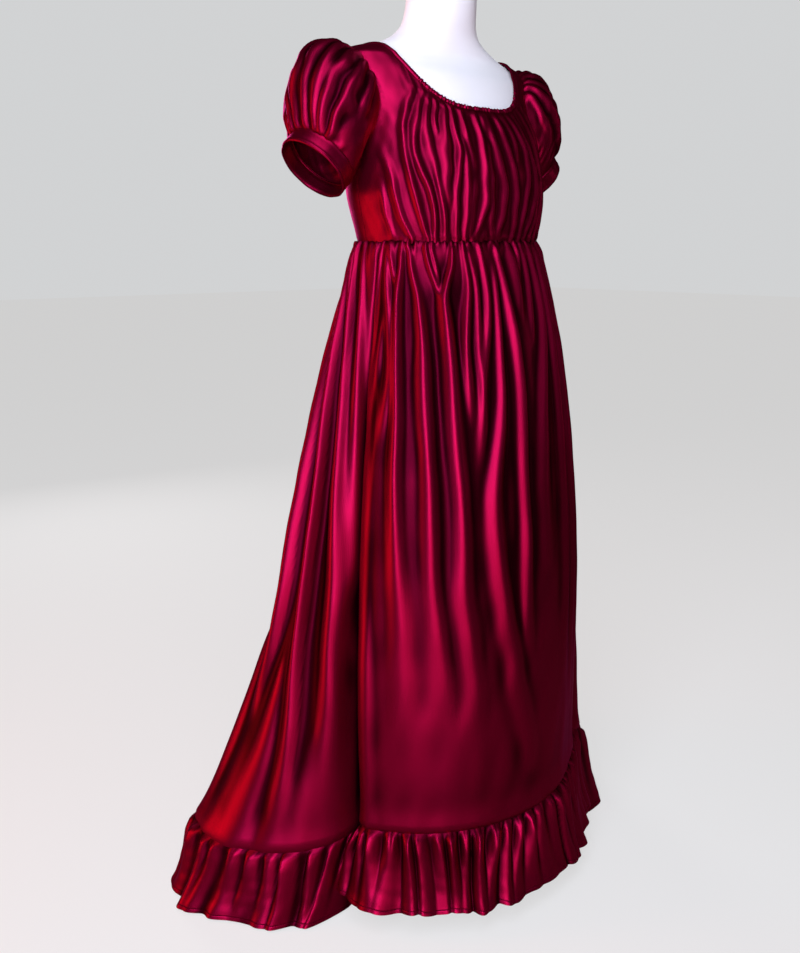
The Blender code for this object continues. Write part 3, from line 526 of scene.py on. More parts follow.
sleeve = {
    "centre": (0.227, 0.026, 1.228), "slant": 45.0, "radius": 0.053,
    "columns": 216, "rows": 84,
    "middleX": 0.186, "underarmOut": 0.050, "underarmUp": 0.012, "puffOut": 0.135, "puffUp": 0.128,
    "underarmDown": 0.040, "puffDown": 0.020, "underarmClose": 0.010, "puffClose": 0.130,
    "tuck": 0.0010, "foldHeight": 1.35, "sunk": 0.0035, "paintedShadeDepth": 0.0018,
    "foldShape": {"blend": 2.2, "lean": 1.35, "wide": 1.38}, "gatherShare": 0.9, "seeds": {"left": 70, "right": 80},
}
sleeveFolds = {  # share of the way down, turn (0 underarm, 90 front, 180 shoulder), half width, rise
    "frontEdge": [(0.0, 133, 4, 0.0020), (0.15, 126, 6, 0.0052), (0.4, 121, 7, 0.0068), (0.65, 123, 7, 0.0060),
        (0.88, 127, 6, 0.0040), (1.0, 130, 4, 0.0015)],
    "frontInner": [(0.0, 121, 4, 0.0018), (0.12, 110, 6, 0.0040), (0.35, 101, 8, 0.0036), (0.6, 98, 9, 0)],
    "one": [(0.0, 143, 4, 0.0020), (0.12, 140, 6, 0.0048), (0.34, 137, 7, 0.0056), (0.5, 139, 7, 0.0030),
        (0.62, 140, 7, 0)],
    "two": [(0.30, 141, 6, 0), (0.5, 144, 8, 0.0050), (0.75, 142, 7, 0.0062), (0.92, 140, 5, 0.0040),
        (1.0, 140, 4, 0.0015)],
    "three": [(0.0, 152, 4, 0.0020), (0.1, 155, 5, 0.0048), (0.3, 157, 8, 0.0066), (0.55, 158, 8, 0.0070),
        (0.8, 153, 7, 0.0060), (1.0, 149, 4, 0.0015)],
    "four": [(0.0, 161, 4, 0.0020), (0.14, 168, 5, 0.0050), (0.32, 172, 7, 0.0050), (0.5, 173, 8, 0)],
    "five": [(0.22, 177, 6, 0), (0.45, 176, 8, 0.0056), (0.7, 171, 8, 0.0064), (0.9, 165, 5, 0.0045),
        (1.0, 163, 4, 0.0015)],
    "six": [(0.0, 170, 4, 0.0020), (0.12, 182, 5, 0.0052), (0.35, 190, 8, 0.0068), (0.6, 191, 8, 0.0066),
        (0.85, 185, 6, 0.0050), (1.0, 180, 4, 0.0015)],
    "seven": [(0.0, 180, 4, 0.0020), (0.15, 196, 6, 0.0050), (0.3, 204, 7, 0.0044), (0.45, 206, 8, 0)],
    "eight": [(0.25, 208, 6, 0), (0.5, 208, 8, 0.0060), (0.75, 203, 7, 0.0060), (0.92, 198, 5, 0.0040),
        (1.0, 197, 4, 0.0015)],
    "nine": [(0.0, 192, 4, 0.0020), (0.14, 212, 6, 0.0052), (0.4, 222, 8, 0.0064), (0.65, 221, 8, 0.0060),
        (0.88, 214, 6, 0.0044), (1.0, 211, 4, 0.0015)],
    "ten": [(0.0, 206, 4, 0.0020), (0.16, 226, 6, 0.0045), (0.36, 236, 8, 0.0050), (0.6, 238, 9, 0.0040),
        (0.85, 231, 7, 0.0020), (1.0, 228, 4, 0)],
    "backEdge": [(0.0, 222, 5, 0.0018), (0.2, 241, 7, 0.0045), (0.5, 250, 9, 0.0050), (0.8, 246, 8, 0.0036),
        (1.0, 242, 5, 0.0010)],
}
sleeveGathers = {
    "head": {"first": 108, "last": 250, "count": 17, "rise": 0.0034, "length": (0.05, 0.26), "swell": 0.01},
    "cuff": {"first": 96, "last": 264, "count": 19, "rise": 0.0032, "length": (0.05, 0.24), "swell": 0.01},
}


def cuffFrame(side):
    slant = math.radians(sleeve["slant"])
    centre = np.array([side * sleeve["centre"][0], sleeve["centre"][1], sleeve["centre"][2]])
    down = np.array([side * math.sin(slant), 0.0, -math.cos(slant)])
    top = np.array([side * math.cos(slant), 0.0, math.sin(slant)])
    return centre, down, top, np.array([0.0, -1.0, 0.0])


def sleevePiece(name, side, seed, width, length):
    centre, down, top, forward = cuffFrame(side)
    turn = np.linspace(0, 360, sleeve["columns"], endpoint=False)[None, :]
    t = np.linspace(0, 1, sleeve["rows"])[:, None]
    full = (1.0 - np.cos(np.radians(turn))) / 2.0
    angle, height = armhole(turn, sleeve["tuck"])
    start = bodyPoint(side * angle, height, 0.0009 + 0 * turn)
    middle = np.array([side * sleeve["middleX"], sleeve["centre"][1], bodice["armholeMiddle"]])
    across = start - middle
    across[..., 0] = 0.0
    across = unit(across)
    spoke = -top * np.cos(np.radians(turn))[..., None] + forward * np.sin(np.radians(turn))[..., None]
    end = centre + spoke * (sleeve["radius"] - 0.0006)
    leave = np.array([side, 0.0, 0.0]) * (sleeve["underarmOut"] + sleeve["puffOut"] * full)[..., None]
    leave = leave + across * (sleeve["underarmUp"] + sleeve["puffUp"] * full)[..., None]
    arrive = down * (sleeve["underarmDown"] + sleeve["puffDown"] * full)[..., None]
    arrive = arrive - spoke * (sleeve["underarmClose"] + sleeve["puffClose"] * full)[..., None]
    s = t[..., None]
    grid = start * (1 + 2 * s) * (1 - s) ** 2 + leave * s * (1 - s) ** 2
    grid = grid + end * s * s * (3 - 2 * s) - arrive * s * s * (1 - s)
    alongWay = np.gradient(grid, axis=0)
    aroundWay = np.roll(grid, -1, axis=1) - np.roll(grid, 1, axis=1)
    normal = unit(np.cross(aroundWay, alongWay))
    facing = np.sign(np.sum(normal * (unit(across + spoke)), axis=-1, keepdims=True))
    normal = normal * np.where(facing == 0, 1, facing)
    sway = ripple(turn / 60, t * 1.5, seed) * 2.5
    field = sleeve["foldHeight"] * foldField(turn + sway, t + 0 * turn, sleeveFolds, **sleeve["foldShape"])
    for seam, depth, more in (("head", t + 0 * turn, 1), ("cuff", 1.0 - t + 0 * turn, 2)):
        field = field + gatherField(turn, depth, sleeveGathers[seam], seed + more) * sleeve["gatherShare"]
    field = field + 0.0008 * ripple(turn / 45, t * 3, seed + 3) * np.sin(np.pi * t)
    field = field - sleeve["sunk"] * full * np.sin(np.pi * t)
    field = soften(field * smoothStep(t / 0.04) * smoothStep((1 - t) / 0.03), 2, ring=True)
    # painted shade for the hollows between the folds
    paintedShade = paintedShadeOf(field, 24, sleeve["paintedShadeDepth"], ring=True)
    grid = grid + normal * field[..., None]
    uv = cutMap(grid.shape[0], grid.shape[1], width * (1 - 1 / grid.shape[1]), length)
    return sheetMesh(name, grid, uv, ring=True, outward=side, paintedShade=paintedShade)


cuff = {
    "wall": 0.0016, "columns": 180, "uneven": 0.0004, "seeds": {"left": 61, "right": 62},
    "shape": [  # distance down the cuff, radius: a folded band with a small roll at each edge
        (-0.0012, 0.0532), (-0.0014, 0.0541), (-0.0006, 0.0549), (0.0010, 0.0552), (0.0022, 0.0546),
        (0.0060, 0.0547), (0.0110, 0.0549), (0.0160, 0.0547), (0.0196, 0.0545), (0.0208, 0.0551),
        (0.0220, 0.0552), (0.0228, 0.0546), (0.0229, 0.0538),
    ],
}


def cuffPiece(name, side, seed, width, length):
    centre, down, top, forward = cuffFrame(side)
    turn = np.radians(np.linspace(0, 360, cuff["columns"], endpoint=False))
    spoke = -top * np.cos(turn)[:, None] + forward * np.sin(turn)[:, None]
    unevenness = cuff["uneven"] * ripple(np.degrees(turn) / 40, 0 * turn, seed)
    even = 0 * unevenness
    rings = [centre + down * (d + even)[:, None] + spoke * (r + unevenness)[:, None] for d, r in cuff["shape"]]
    grid = np.stack(rings, 0)
    uv = cutMap(grid.shape[0], grid.shape[1], width, length)
    return sheetMesh(name, grid, uv, ring=True, thickness=cuff["wall"], outward=side)


# skirt

skirt = {
    "lines": [  # angle at the seam, angle at the foot, foot radius, foot height, swell, kick
        (-180.0, -180.0, 0.520, 0.112, 1.0, 0.26), (-171.0, -169.5, 0.508, 0.112, 1.0, 0.26),
        (-160.0, -157.0, 0.462, 0.112, 1.0, 0.26), (-140.0, -135.0, 0.398, 0.112, 1.0, 0.24),
        (-115.0, -112.0, 0.434, 0.116, 1.0, 0.24), (-97.0, -97.0, 0.372, 0.116, 1.1, 0.22),
        (-86.0, -86.0, 0.298, 0.124, 1.4, 0.15), (-79.0, -78.0, 0.226, 0.145, 2.0, 0.05),
        (-70.0, -69.0, 0.256, 0.165, 2.5, 0.00), (-54.0, -55.0, 0.252, 0.168, 2.6, 0.00),
        (-30.0, -30.0, 0.240, 0.170, 2.6, 0.00), (0.0, 0.0, 0.234, 0.174, 2.6, 0.00),
        (30.0, 30.0, 0.234, 0.184, 2.6, 0.00), (54.0, 47.0, 0.243, 0.196, 2.5, 0.00),
        (70.0, 58.0, 0.250, 0.200, 2.2, 0.02), (79.0, 64.0, 0.260, 0.192, 2.0, 0.05),
        (84.0, 69.0, 0.280, 0.182, 1.8, 0.09), (90.0, 76.0, 0.304, 0.168, 1.6, 0.13),
        (98.0, 87.0, 0.338, 0.148, 1.3, 0.19), (115.0, 105.0, 0.382, 0.120, 1.0, 0.24),
        (140.0, 132.0, 0.412, 0.112, 1.0, 0.24), (160.0, 156.0, 0.460, 0.112, 1.0, 0.26),
        (171.0, 169.0, 0.508, 0.112, 1.0, 0.26), (180.0, 180.0, 0.520, 0.112, 1.0, 0.26),
    ],
    "sideAngle": 79.0, "kickPower": 6,
    "columns": {"front": 320, "train": 390}, "rows": {"front": 145, "train": 122}, "rowPower": 1.35,
    "pinch": 0.0016, "pinchReach": 0.003, "spring": 0.0035, "springReach": 0.025,
    "edgeTurn": 0.0022, "edgeReach": 1.0, "footTurn": 0.0050, "footReach": 0.0055,
    "footPuff": 0.0042, "puffReach": 0.028, "deepen": 0.45, "deepenReach": 60,
    "edgeKept": 3.0, "edgeFlat": 1.6, "paintedShadeReach": 70, "paintedShadeDepth": 0.0030,
    "wobble": 0.30, "lean": {"front": 1.1, "train": 1.05}, "foldShape": {"blend": 2.1, "wide": 1.5},
    "gatherShare": 0.85, "seeds": {"front": 41, "train": 51},
    "trainFull": 0.007, "closeFrom": 172, "closeTo": 238, "deepestTop": 0.0035, "deepestBelow": 0.004,
}
panelEnds = {  # the angles of each panel's side seams
    "front": (-skirt["sideAngle"], skirt["sideAngle"]), "train": (skirt["sideAngle"], 360.0 - skirt["sideAngle"]),
}
skirtFoot = {}  # where each panel's lower edge lies, for the flounce sewn to it
frontFolds = {  # share of the way down, angle at the seam, half width in degrees, rise in metres
    "edgeRed": [(0.12, -76.6, 2.0, 0), (0.22, -76.2, 2.6, 0.004), (0.42, -75.2, 3.4, 0.007),
        (0.66, -73.8, 4.2, 0.008), (0.86, -72.5, 4.8, 0.006), (1.0, -72.0, 5.0, 0.003)],
    "smallB": [(0.0, -76.4, 1.3, 0.003), (0.08, -77.0, 1.5, 0.0045), (0.15, -76.6, 1.6, 0.0045),
        (0.22, -76.0, 1.7, 0.0045), (0.278, -75.2, 1.6, 0.002), (0.31, -75.0, 1.6, 0)],
    "smallC": [(0.1, -70.3, 1.4, 0), (0.15, -71.2, 1.6, 0.0035), (0.2, -72.2, 1.7, 0.0040),
        (0.253, -74.2, 1.7, 0.0035), (0.30, -75.0, 1.6, 0)],
    "redFade": [(0.0, -73.2, 1.6, 0.0025), (0.076, -68.9, 2.4, 0.006), (0.152, -65.8, 2.6, 0.0065),
        (0.215, -64.6, 2.7, 0.006), (0.27, -65.4, 2.8, 0.004), (0.33, -67.0, 2.8, 0)],
    "yLeft": [(0.0, -71.0, 1.3, 0.003), (0.051, -66.3, 1.5, 0.005), (0.085, -63.4, 1.5, 0.0045),
        (0.115, -62.3, 1.4, 0)],
    "longOne": [(0.0, -63.4, 1.5, 0.004), (0.038, -62.3, 1.8, 0.007), (0.075, -62.4, 2.2, 0.010),
        (0.152, -61.5, 2.6, 0.011), (0.278, -60.0, 3.0, 0.0105), (0.38, -59.6, 3.4, 0.0095),
        (0.481, -58.4, 3.8, 0.008), (0.582, -56.9, 4.2, 0.0065), (0.684, -55.9, 4.6, 0.0045),
        (0.785, -54.4, 5.0, 0.002), (0.86, -54.0, 5.0, 0)],
    "longTwo": [(0.0, -59.0, 1.4, 0.003), (0.051, -55.4, 1.9, 0.006), (0.089, -51.9, 2.2, 0.007),
        (0.152, -49.0, 2.9, 0.0085), (0.215, -48.0, 3.8, 0.0085), (0.278, -47.2, 3.8, 0.009),
        (0.342, -46.4, 3.3, 0.0092), (0.443, -45.7, 3.2, 0.0085), (0.506, -44.9, 3.2, 0.0075),
        (0.608, -43.3, 3.6, 0.0055), (0.696, -41.7, 4.0, 0.0035), (0.78, -39.6, 4.4, 0.0015),
        (0.85, -39, 5, 0)],
    "yThree": [(0.0, -49.8, 1.3, 0.004), (0.04, -46.2, 1.5, 0.0065), (0.076, -42.2, 1.5, 0.0065),
        (0.105, -40.0, 1.3, 0)],
    "yFour": [(0.0, -46.0, 1.1, 0.002), (0.05, -42.0, 1.2, 0.004), (0.095, -40.0, 1.2, 0)],
    "longThree": [(0.01, -33.0, 1.4, 0.004), (0.038, -34.2, 1.8, 0.008), (0.063, -36.9, 2.0, 0.010),
        (0.09, -39.2, 3.0, 0.013), (0.127, -38.3, 3.5, 0.014), (0.19, -37.0, 3.7, 0.013),
        (0.253, -36.1, 3.6, 0.012), (0.316, -35.4, 3.5, 0.011), (0.38, -34.6, 3.5, 0.010),
        (0.481, -33.6, 3.6, 0.009), (0.582, -32.5, 3.8, 0.0075), (0.671, -30.6, 4.1, 0.006),
        (0.759, -28.9, 4.5, 0.004), (0.83, -29.4, 4.8, 0.002), (0.9, -30.0, 5.0, 0)],
    "shortFour": [(0.0, -27.0, 1.4, 0.003), (0.063, -26.0, 1.8, 0.0065), (0.127, -28.0, 2.2, 0.0085),
        (0.177, -29.0, 2.4, 0.0085), (0.215, -28.9, 2.8, 0.007), (0.253, -28.6, 2.8, 0.0045),
        (0.3, -28.2, 2.6, 0)],
    "vLeft": [(0.02, -23.0, 1.2, 0.002), (0.076, -21.3, 1.4, 0.0045), (0.127, -21.8, 1.5, 0.0058),
        (0.19, -22.6, 1.7, 0.006), (0.24, -22.5, 2.0, 0.0055), (0.32, -23.4, 2.0, 0)],
    "vRight": [(0.0, -16.4, 1.4, 0.003), (0.076, -15.7, 1.8, 0.0065), (0.139, -17.4, 2.0, 0.0078),
        (0.19, -19.8, 2.0, 0.0075), (0.24, -22.2, 2.2, 0.0065), (0.32, -24.0, 2.3, 0.003),
        (0.38, -25.0, 2.4, 0)],
    "longFive": [(0.03, -9.6, 1.2, 0), (0.07, -10.0, 1.4, 0.0045), (0.114, -10.7, 1.6, 0.0065),
        (0.177, -11.5, 1.8, 0.0075), (0.241, -12.4, 2.1, 0.0085), (0.291, -14.4, 2.6, 0.0095),
        (0.367, -18.2, 3.3, 0.0105), (0.418, -19.4, 3.7, 0.0105), (0.481, -19.2, 4.0, 0.0105),
        (0.557, -17.6, 4.3, 0.010), (0.62, -15.5, 4.6, 0.009), (0.696, -12.4, 4.9, 0.008),
        (0.797, -7.6, 5.0, 0.0055), (0.873, -3.0, 5.0, 0.003), (0.94, -1.0, 5.0, 0)],
    "longSix": [(0.0, -7.0, 1.4, 0.004), (0.063, -4.9, 2.0, 0.008), (0.114, -3.9, 2.3, 0.010),
        (0.165, -2.5, 2.5, 0.0105), (0.228, -2.0, 2.6, 0.0105), (0.291, -2.8, 2.7, 0.0105),
        (0.354, -4.0, 2.8, 0.010), (0.456, -4.9, 2.9, 0.0095), (0.532, -4.8, 3.0, 0.0085),
        (0.6, -4.8, 3.2, 0.007), (0.671, -4.4, 3.6, 0.004), (0.76, -3.0, 3.8, 0)],
    "patch": [(0.0, 1.8, 1.8, 0.004), (0.04, 2.9, 2.8, 0.0085), (0.08, 3.6, 2.8, 0.007), (0.14, 4.2, 2.6, 0)],
    "patchSmall": [(0.0, 8.0, 1.3, 0.003), (0.03, 7.0, 1.5, 0.006), (0.07, 5.6, 1.6, 0.003),
        (0.1, 5.0, 1.6, 0)],
    "longSeven": [(0.0, 18.4, 1.6, 0.004), (0.063, 19.6, 2.3, 0.009), (0.114, 19.4, 2.8, 0.0105),
        (0.165, 17.4, 3.1, 0.0105), (0.22, 14.0, 3.4, 0.0105), (0.28, 10.8, 3.8, 0.0095),
        (0.35, 8.8, 4.0, 0.008), (0.42, 8.1, 4.1, 0.0065), (0.5, 8.0, 4.2, 0.004), (0.58, 8.5, 4.2, 0)],
    "farOne": [(0.0, 12.6, 1.3, 0.003), (0.05, 12.4, 1.6, 0.006), (0.12, 11.2, 1.8, 0.005),
        (0.18, 10.6, 1.8, 0)],
    "farTwo": [(0.0, 28.0, 1.6, 0.004), (0.1, 29.0, 2.6, 0.0095), (0.22, 27.8, 3.2, 0.0105),
        (0.36, 25.4, 3.6, 0.010), (0.52, 23.8, 4.0, 0.008), (0.66, 22.8, 4.4, 0.005), (0.82, 22.0, 5.0, 0)],
    "farThree": [(0.0, 34.6, 1.4, 0.003), (0.08, 35.6, 1.9, 0.0065), (0.16, 36.8, 2.0, 0.004),
        (0.22, 37.6, 2.0, 0)],
    "farFour": [(0.0, 42.4, 1.5, 0.004), (0.07, 41.0, 2.1, 0.009), (0.16, 39.6, 2.8, 0.011),
        (0.3, 38.2, 3.3, 0.0105), (0.46, 37.0, 3.6, 0.009), (0.62, 35.8, 4.0, 0.0065), (0.76, 35.0, 4.6, 0.003),
        (0.88, 34.5, 5.0, 0)],
    "farFive": [(0.0, 48.6, 1.3, 0.003), (0.05, 45.6, 1.5, 0.006), (0.1, 42.8, 1.6, 0.005),
        (0.135, 41.2, 1.5, 0)],
    "farSix": [(0.0, 54.4, 1.5, 0.004), (0.08, 54.0, 2.2, 0.0085), (0.18, 53.0, 2.8, 0.010),
        (0.34, 51.2, 3.4, 0.009), (0.52, 50.0, 3.8, 0.0075), (0.68, 49.2, 4.4, 0.004), (0.82, 48.6, 4.8, 0)],
    "farSeven": [(0.0, 60.6, 1.4, 0.003), (0.07, 60.0, 1.9, 0.0065), (0.15, 59.0, 2.1, 0.004),
        (0.24, 58.0, 2.1, 0)],
    "farEight": [(0.0, 67.4, 1.6, 0.004), (0.1, 66.6, 2.5, 0.0085), (0.24, 65.2, 3.2, 0.0095),
        (0.42, 64.0, 3.6, 0.0085), (0.62, 63.2, 4.2, 0.007), (0.8, 62.4, 4.8, 0.0035), (0.92, 62.0, 5.0, 0)],
    "edgeFar": [(0.05, 75.6, 1.8, 0), (0.2, 75.8, 2.4, 0.0055), (0.4, 75.2, 3.2, 0.0075),
        (0.66, 74.2, 4.0, 0.008), (0.86, 73.2, 4.6, 0.006), (1.0, 72.6, 5.0, 0.003)],
}
trainFolds = {
    "edgeLine": [(0.0, 269.4, 1.2, 0.003), (0.076, 272.2, 1.6, 0.006), (0.152, 274.0, 1.8, 0.0075),
        (0.28, 275.6, 2.0, 0.009), (0.42, 276.6, 2.2, 0.010), (0.52, 276.6, 2.2, 0.011),
        (0.58, 275.6, 2.1, 0.010), (0.64, 276.6, 2.1, 0.006), (0.7, 277.6, 2.0, 0)],
    "one": [(0.0, 260.6, 1.5, 0.004), (0.063, 263.4, 2.1, 0.009), (0.127, 266.6, 2.4, 0.012),
        (0.19, 269.0, 2.6, 0.014), (0.278, 270.6, 2.8, 0.016), (0.38, 271.8, 2.9, 0.018),
        (0.468, 272.6, 2.8, 0.019), (0.57, 273.4, 2.6, 0.019), (0.67, 273.8, 2.4, 0.017),
        (0.75, 274.2, 2.4, 0.014), (0.86, 274.8, 2.6, 0.009), (0.96, 275.4, 2.8, 0.004),
        (1.0, 275.6, 3.0, 0.002)],
    "two": [(0.0, 247.0, 1.5, 0.004), (0.089, 252.6, 2.4, 0.010), (0.19, 256.4, 2.9, 0.015),
        (0.3, 259.4, 3.1, 0.018), (0.42, 261.4, 3.0, 0.020), (0.544, 262.2, 2.8, 0.021),
        (0.63, 262.9, 2.6, 0.020), (0.72, 263.9, 2.5, 0.017), (0.81, 264.9, 2.6, 0.013),
        (0.9, 265.7, 2.8, 0.008), (0.97, 266.0, 3.0, 0.004), (1.0, 266.0, 3.2, 0.003)],
    "three": [(0.04, 238.0, 1.6, 0), (0.1, 240.0, 2.2, 0.009), (0.2, 243.4, 2.8, 0.015),
        (0.35, 247.0, 3.2, 0.019), (0.48, 249.4, 3.2, 0.021), (0.58, 250.8, 3.0, 0.020),
        (0.66, 250.6, 2.8, 0.016), (0.72, 248.6, 2.8, 0.010), (0.8, 246.0, 3.0, 0)],
    "lightA": [(0.6, 257.6, 2.6, 0), (0.72, 257.8, 3.2, 0.005), (0.84, 257.2, 4.0, 0.008),
        (0.94, 256.6, 4.4, 0.007), (1.0, 256.4, 4.6, 0.005)],
    "lightB": [(0.74, 271.0, 1.8, 0), (0.84, 271.2, 2.4, 0.005), (0.93, 271.0, 2.8, 0.006),
        (1.0, 270.8, 3.0, 0.004)],
    "four": [(0.62, 240.0, 2.6, 0), (0.72, 239.4, 3.0, 0.010), (0.85, 239.2, 3.4, 0.013),
        (0.95, 239.8, 3.6, 0.009), (1.0, 240.0, 3.8, 0.006)],
    "topA": [(0.0, 255.4, 1.3, 0.004), (0.05, 257.4, 1.6, 0.007), (0.11, 260.6, 1.7, 0.006),
        (0.16, 263.4, 1.6, 0)],
    "topB": [(0.0, 242.0, 1.3, 0.004), (0.06, 245.4, 1.6, 0.007), (0.12, 249.6, 1.7, 0.005),
        (0.17, 253, 1.6, 0)],
}
trainMore = [  # angle at the seam, angle at the foot, start, end, half width, rise
    (84.0, 85.0, 0.00, 1.00, 3.0, 0.012), (91.0, 92.5, 0.04, 0.80, 3.2, 0.017),
    (97.0, 99.0, 0.00, 1.00, 3.2, 0.019), (104.0, 102.0, 0.00, 0.24, 2.0, 0.008),
    (109.0, 110.0, 0.02, 0.86, 3.4, 0.020), (118.0, 121.0, 0.00, 1.00, 3.6, 0.021),
    (125.0, 122.5, 0.00, 0.22, 2.0, 0.008), (130.0, 132.0, 0.05, 0.74, 3.2, 0.017),
    (138.0, 142.0, 0.00, 1.00, 3.8, 0.022), (146.0, 143.5, 0.00, 0.26, 2.0, 0.008),
    (151.0, 154.0, 0.03, 0.82, 3.4, 0.019), (160.0, 163.5, 0.00, 1.00, 3.6, 0.022),
    (168.0, 166.0, 0.00, 0.20, 2.0, 0.008), (174.0, 174.5, 0.04, 0.90, 3.4, 0.018),
    (183.0, 184.5, 0.00, 1.00, 3.8, 0.023), (190.0, 187.0, 0.00, 0.24, 2.0, 0.008),
    (195.0, 194.0, 0.05, 0.78, 3.2, 0.018), (204.0, 205.0, 0.00, 1.00, 3.6, 0.022),
    (211.0, 208.0, 0.00, 0.22, 2.0, 0.008), (217.0, 215.5, 0.03, 0.84, 3.4, 0.019),
    (226.0, 227.0, 0.00, 1.00, 3.6, 0.021), (232.0, 230.0, 0.00, 0.24, 2.0, 0.008),
    (236.0, 233.5, 0.10, 0.66, 2.6, 0.012),
]
for i, (top, foot, first, last, half, rise) in enumerate(trainMore):
    share = lambda k: first + (last - first) * k
    mid = top + (foot - top) * 0.6
    sway = 0.7 * math.sin(2.4 * i)
    endRise = rise * 0.28 if last >= 1.0 else 0.0
    trainFolds["back%d" % i] = [
        (share(0.0), top, half * 0.5, rise * (0.3 if first == 0.0 else 0.0)),
        (share(0.12), top + 0.2 * (mid - top), half * 0.7, rise * 0.7),
        (share(0.36), mid - 0.3 * (mid - top) + sway, half, rise),
        (share(0.66), mid + sway, half * 1.05, rise * 0.95),
        (share(0.86), foot - 0.2 * (foot - mid), half, rise * 0.6),
        (share(1.0), foot, half * 1.1, endRise),
    ]
skirtGathers = {
    "front": {"first": -78, "last": 78, "count": 44, "rise": 0.0038, "length": (0.010, 0.044), "swell": 0.002},
    "train": {"first": 81, "last": 279, "count": 52, "rise": 0.0036, "length": (0.012, 0.055), "swell": 0.002},
}


def skirtPoint(angle, t):
    turn = (angle + 180.0) % 360.0 - 180.0
    footAngle, radius, footHeight, swell, kick = (rowValue(skirt["lines"], turn, i) for i in (1, 2, 3, 4, 5))
    top = bodyPoint(turn, underbust + 0 * turn, bodiceEase(underbust + 0 * turn))
    foot = np.stack([radius * np.sin(np.radians(footAngle)), -radius * np.cos(np.radians(footAngle)), footHeight], -1)
    spread = (1.0 - kick) * (1.0 - (1.0 - t) ** swell) + kick * t ** skirt["kickPower"]
    place = top + (foot - top) * spread[..., None]
    place[..., 2] = top[..., 2] + (foot[..., 2] - top[..., 2]) * t
    return place


def skirtOutward(angle, t):
    across = skirtPoint(angle + 0.5, t) - skirtPoint(angle - 0.5, t)
    return unit(np.stack([across[..., 1], -across[..., 0], 0 * across[..., 0]], -1))


def skirtField(angle, t, which):
    # how far the cloth stands out of the plain skirt
    folds, seed = (frontFolds if which == "front" else trainFolds), skirt["seeds"][which]
    wobble = ripple(angle / 50, t * 1.6, seed) * skirt["wobble"] * smoothStep(t / 0.1)
    field = foldField(angle + wobble, t, folds, lean=skirt["lean"][which], **skirt["foldShape"])
    field = field + skirt["gatherShare"] * gatherField(angle, t, skirtGathers[which], seed + 1)
    field = field + skirt["spring"] * smoothStep(t / skirt["springReach"])
    field = field + 0.0004 * ripple(angle / 30, t * 5, seed + 2) * smoothStep(t / 0.05)
    if which == "train":  # fuller towards the foot, but closer where it turns away behind its own fold
        field = field + skirt["trainFull"] * smoothStep(t)
        closer = smoothStep((angle - skirt["closeFrom"]) / 14) * smoothStep((skirt["closeTo"] - angle) / 8)
        closer = closer * smoothStep((t - 0.35) / 0.4)
        field = field * (1.0 - 0.8 * closer) - 0.006 * closer
    first, last = panelEnds[which]
    fromSide = np.minimum(np.abs(angle - first), np.abs(angle - last))
    field = field * smoothStep(fromSide / skirt["edgeFlat"])
    field = field - skirt["edgeTurn"] * (1.0 - smoothStep(fromSide / skirt["edgeReach"]))
    return field - skirt["pinch"] * np.exp(-((t / skirt["pinchReach"]) ** 2))


def skirtPanel(name, which, width, length):
    first, last = panelEnds[which]
    columns = np.linspace(first, last, skirt["columns"][which] + 1)[None, :]
    t = (np.linspace(0, 1, skirt["rows"][which] + 1) ** skirt["rowPower"])[:, None]
    angle, t = columns + 0 * t, t + 0 * columns
    field = soften(skirtField(angle, t, which), 1)
    below = smoothStep((t - 0.02) / 0.12)
    # folds grow softer and deeper below the gathers
    field = field + (deepen(soften(field, 6), skirt["deepenReach"], skirt["deepen"]) - field) * below
    fromSide = np.minimum(angle - first, last - angle)
    edgeLimit = 0.004 * smoothStep(fromSide / skirt["edgeKept"]) + 0.010
    field = np.where(fromSide < skirt["edgeKept"], np.minimum(field, edgeLimit), field)
    field = np.maximum(field, -skirt["deepestTop"] - skirt["deepestBelow"] * below)
    field = field + skirt["footPuff"] * np.exp(-(((1 - t) / skirt["puffReach"]) ** 2))
    field = field - skirt["footTurn"] * np.exp(-(((1 - t) / skirt["footReach"]) ** 2))
    skirtFoot[which] = (angle[-1], field[-1])
    nearFoot = smoothStep((t - 0.93) / 0.05)
    # painted shade for the hollows between the folds, less of it near the foot
    paintedShade = paintedShadeOf(field, skirt["paintedShadeReach"], skirt["paintedShadeDepth"]) * (1 - 0.8 * nearFoot)
    grid = skirtPoint(angle, t) + skirtOutward(angle, t) * field[..., None]
    if which == "front":
        gathered = smoothStep((bodice["gatheredTo"] - np.abs(angle)) / 12)
        grid[..., 2] += seamJag(angle) * gathered * (1 - smoothStep(t / 0.013))
    uv = cutMap(grid.shape[0], grid.shape[1], width, length)
    uv[..., 1] = t * length
    return sheetMesh(name, grid, uv, outward=-1.0, paintedShade=paintedShade)


# flounce

flounce = {
    "front": {"hem": 0.046, "flare": 0.034, "folds": 25, "foldRise": 0.0165, "waves": 11, "waveRise": 0.017,
              "columns": 500, "lap": 0.020, "sag": 1.0, "seed": 91},
    "train": {"hem": 0.003, "flare": 0.044, "folds": 54, "foldRise": 0.0165, "waves": 23, "waveRise": 0.019,
              "columns": 760, "lap": 0.0, "sag": 0.25, "seed": 92, "flatFrom": 174, "flatTo": 236},
    "rows": 34, "overEdge": 0.0006, "tuck": 0.0030, "lift": 0.0050, "bulge": 0.0004, "bulgeReach": 0.06,
    "wallRoom": 0.0016, "gatherRise": 0.0048, "sway": 0.010, "sagDepth": 0.0030,
    "paintedShadeReach": 20, "paintedShadeDepth": 0.0026,
}


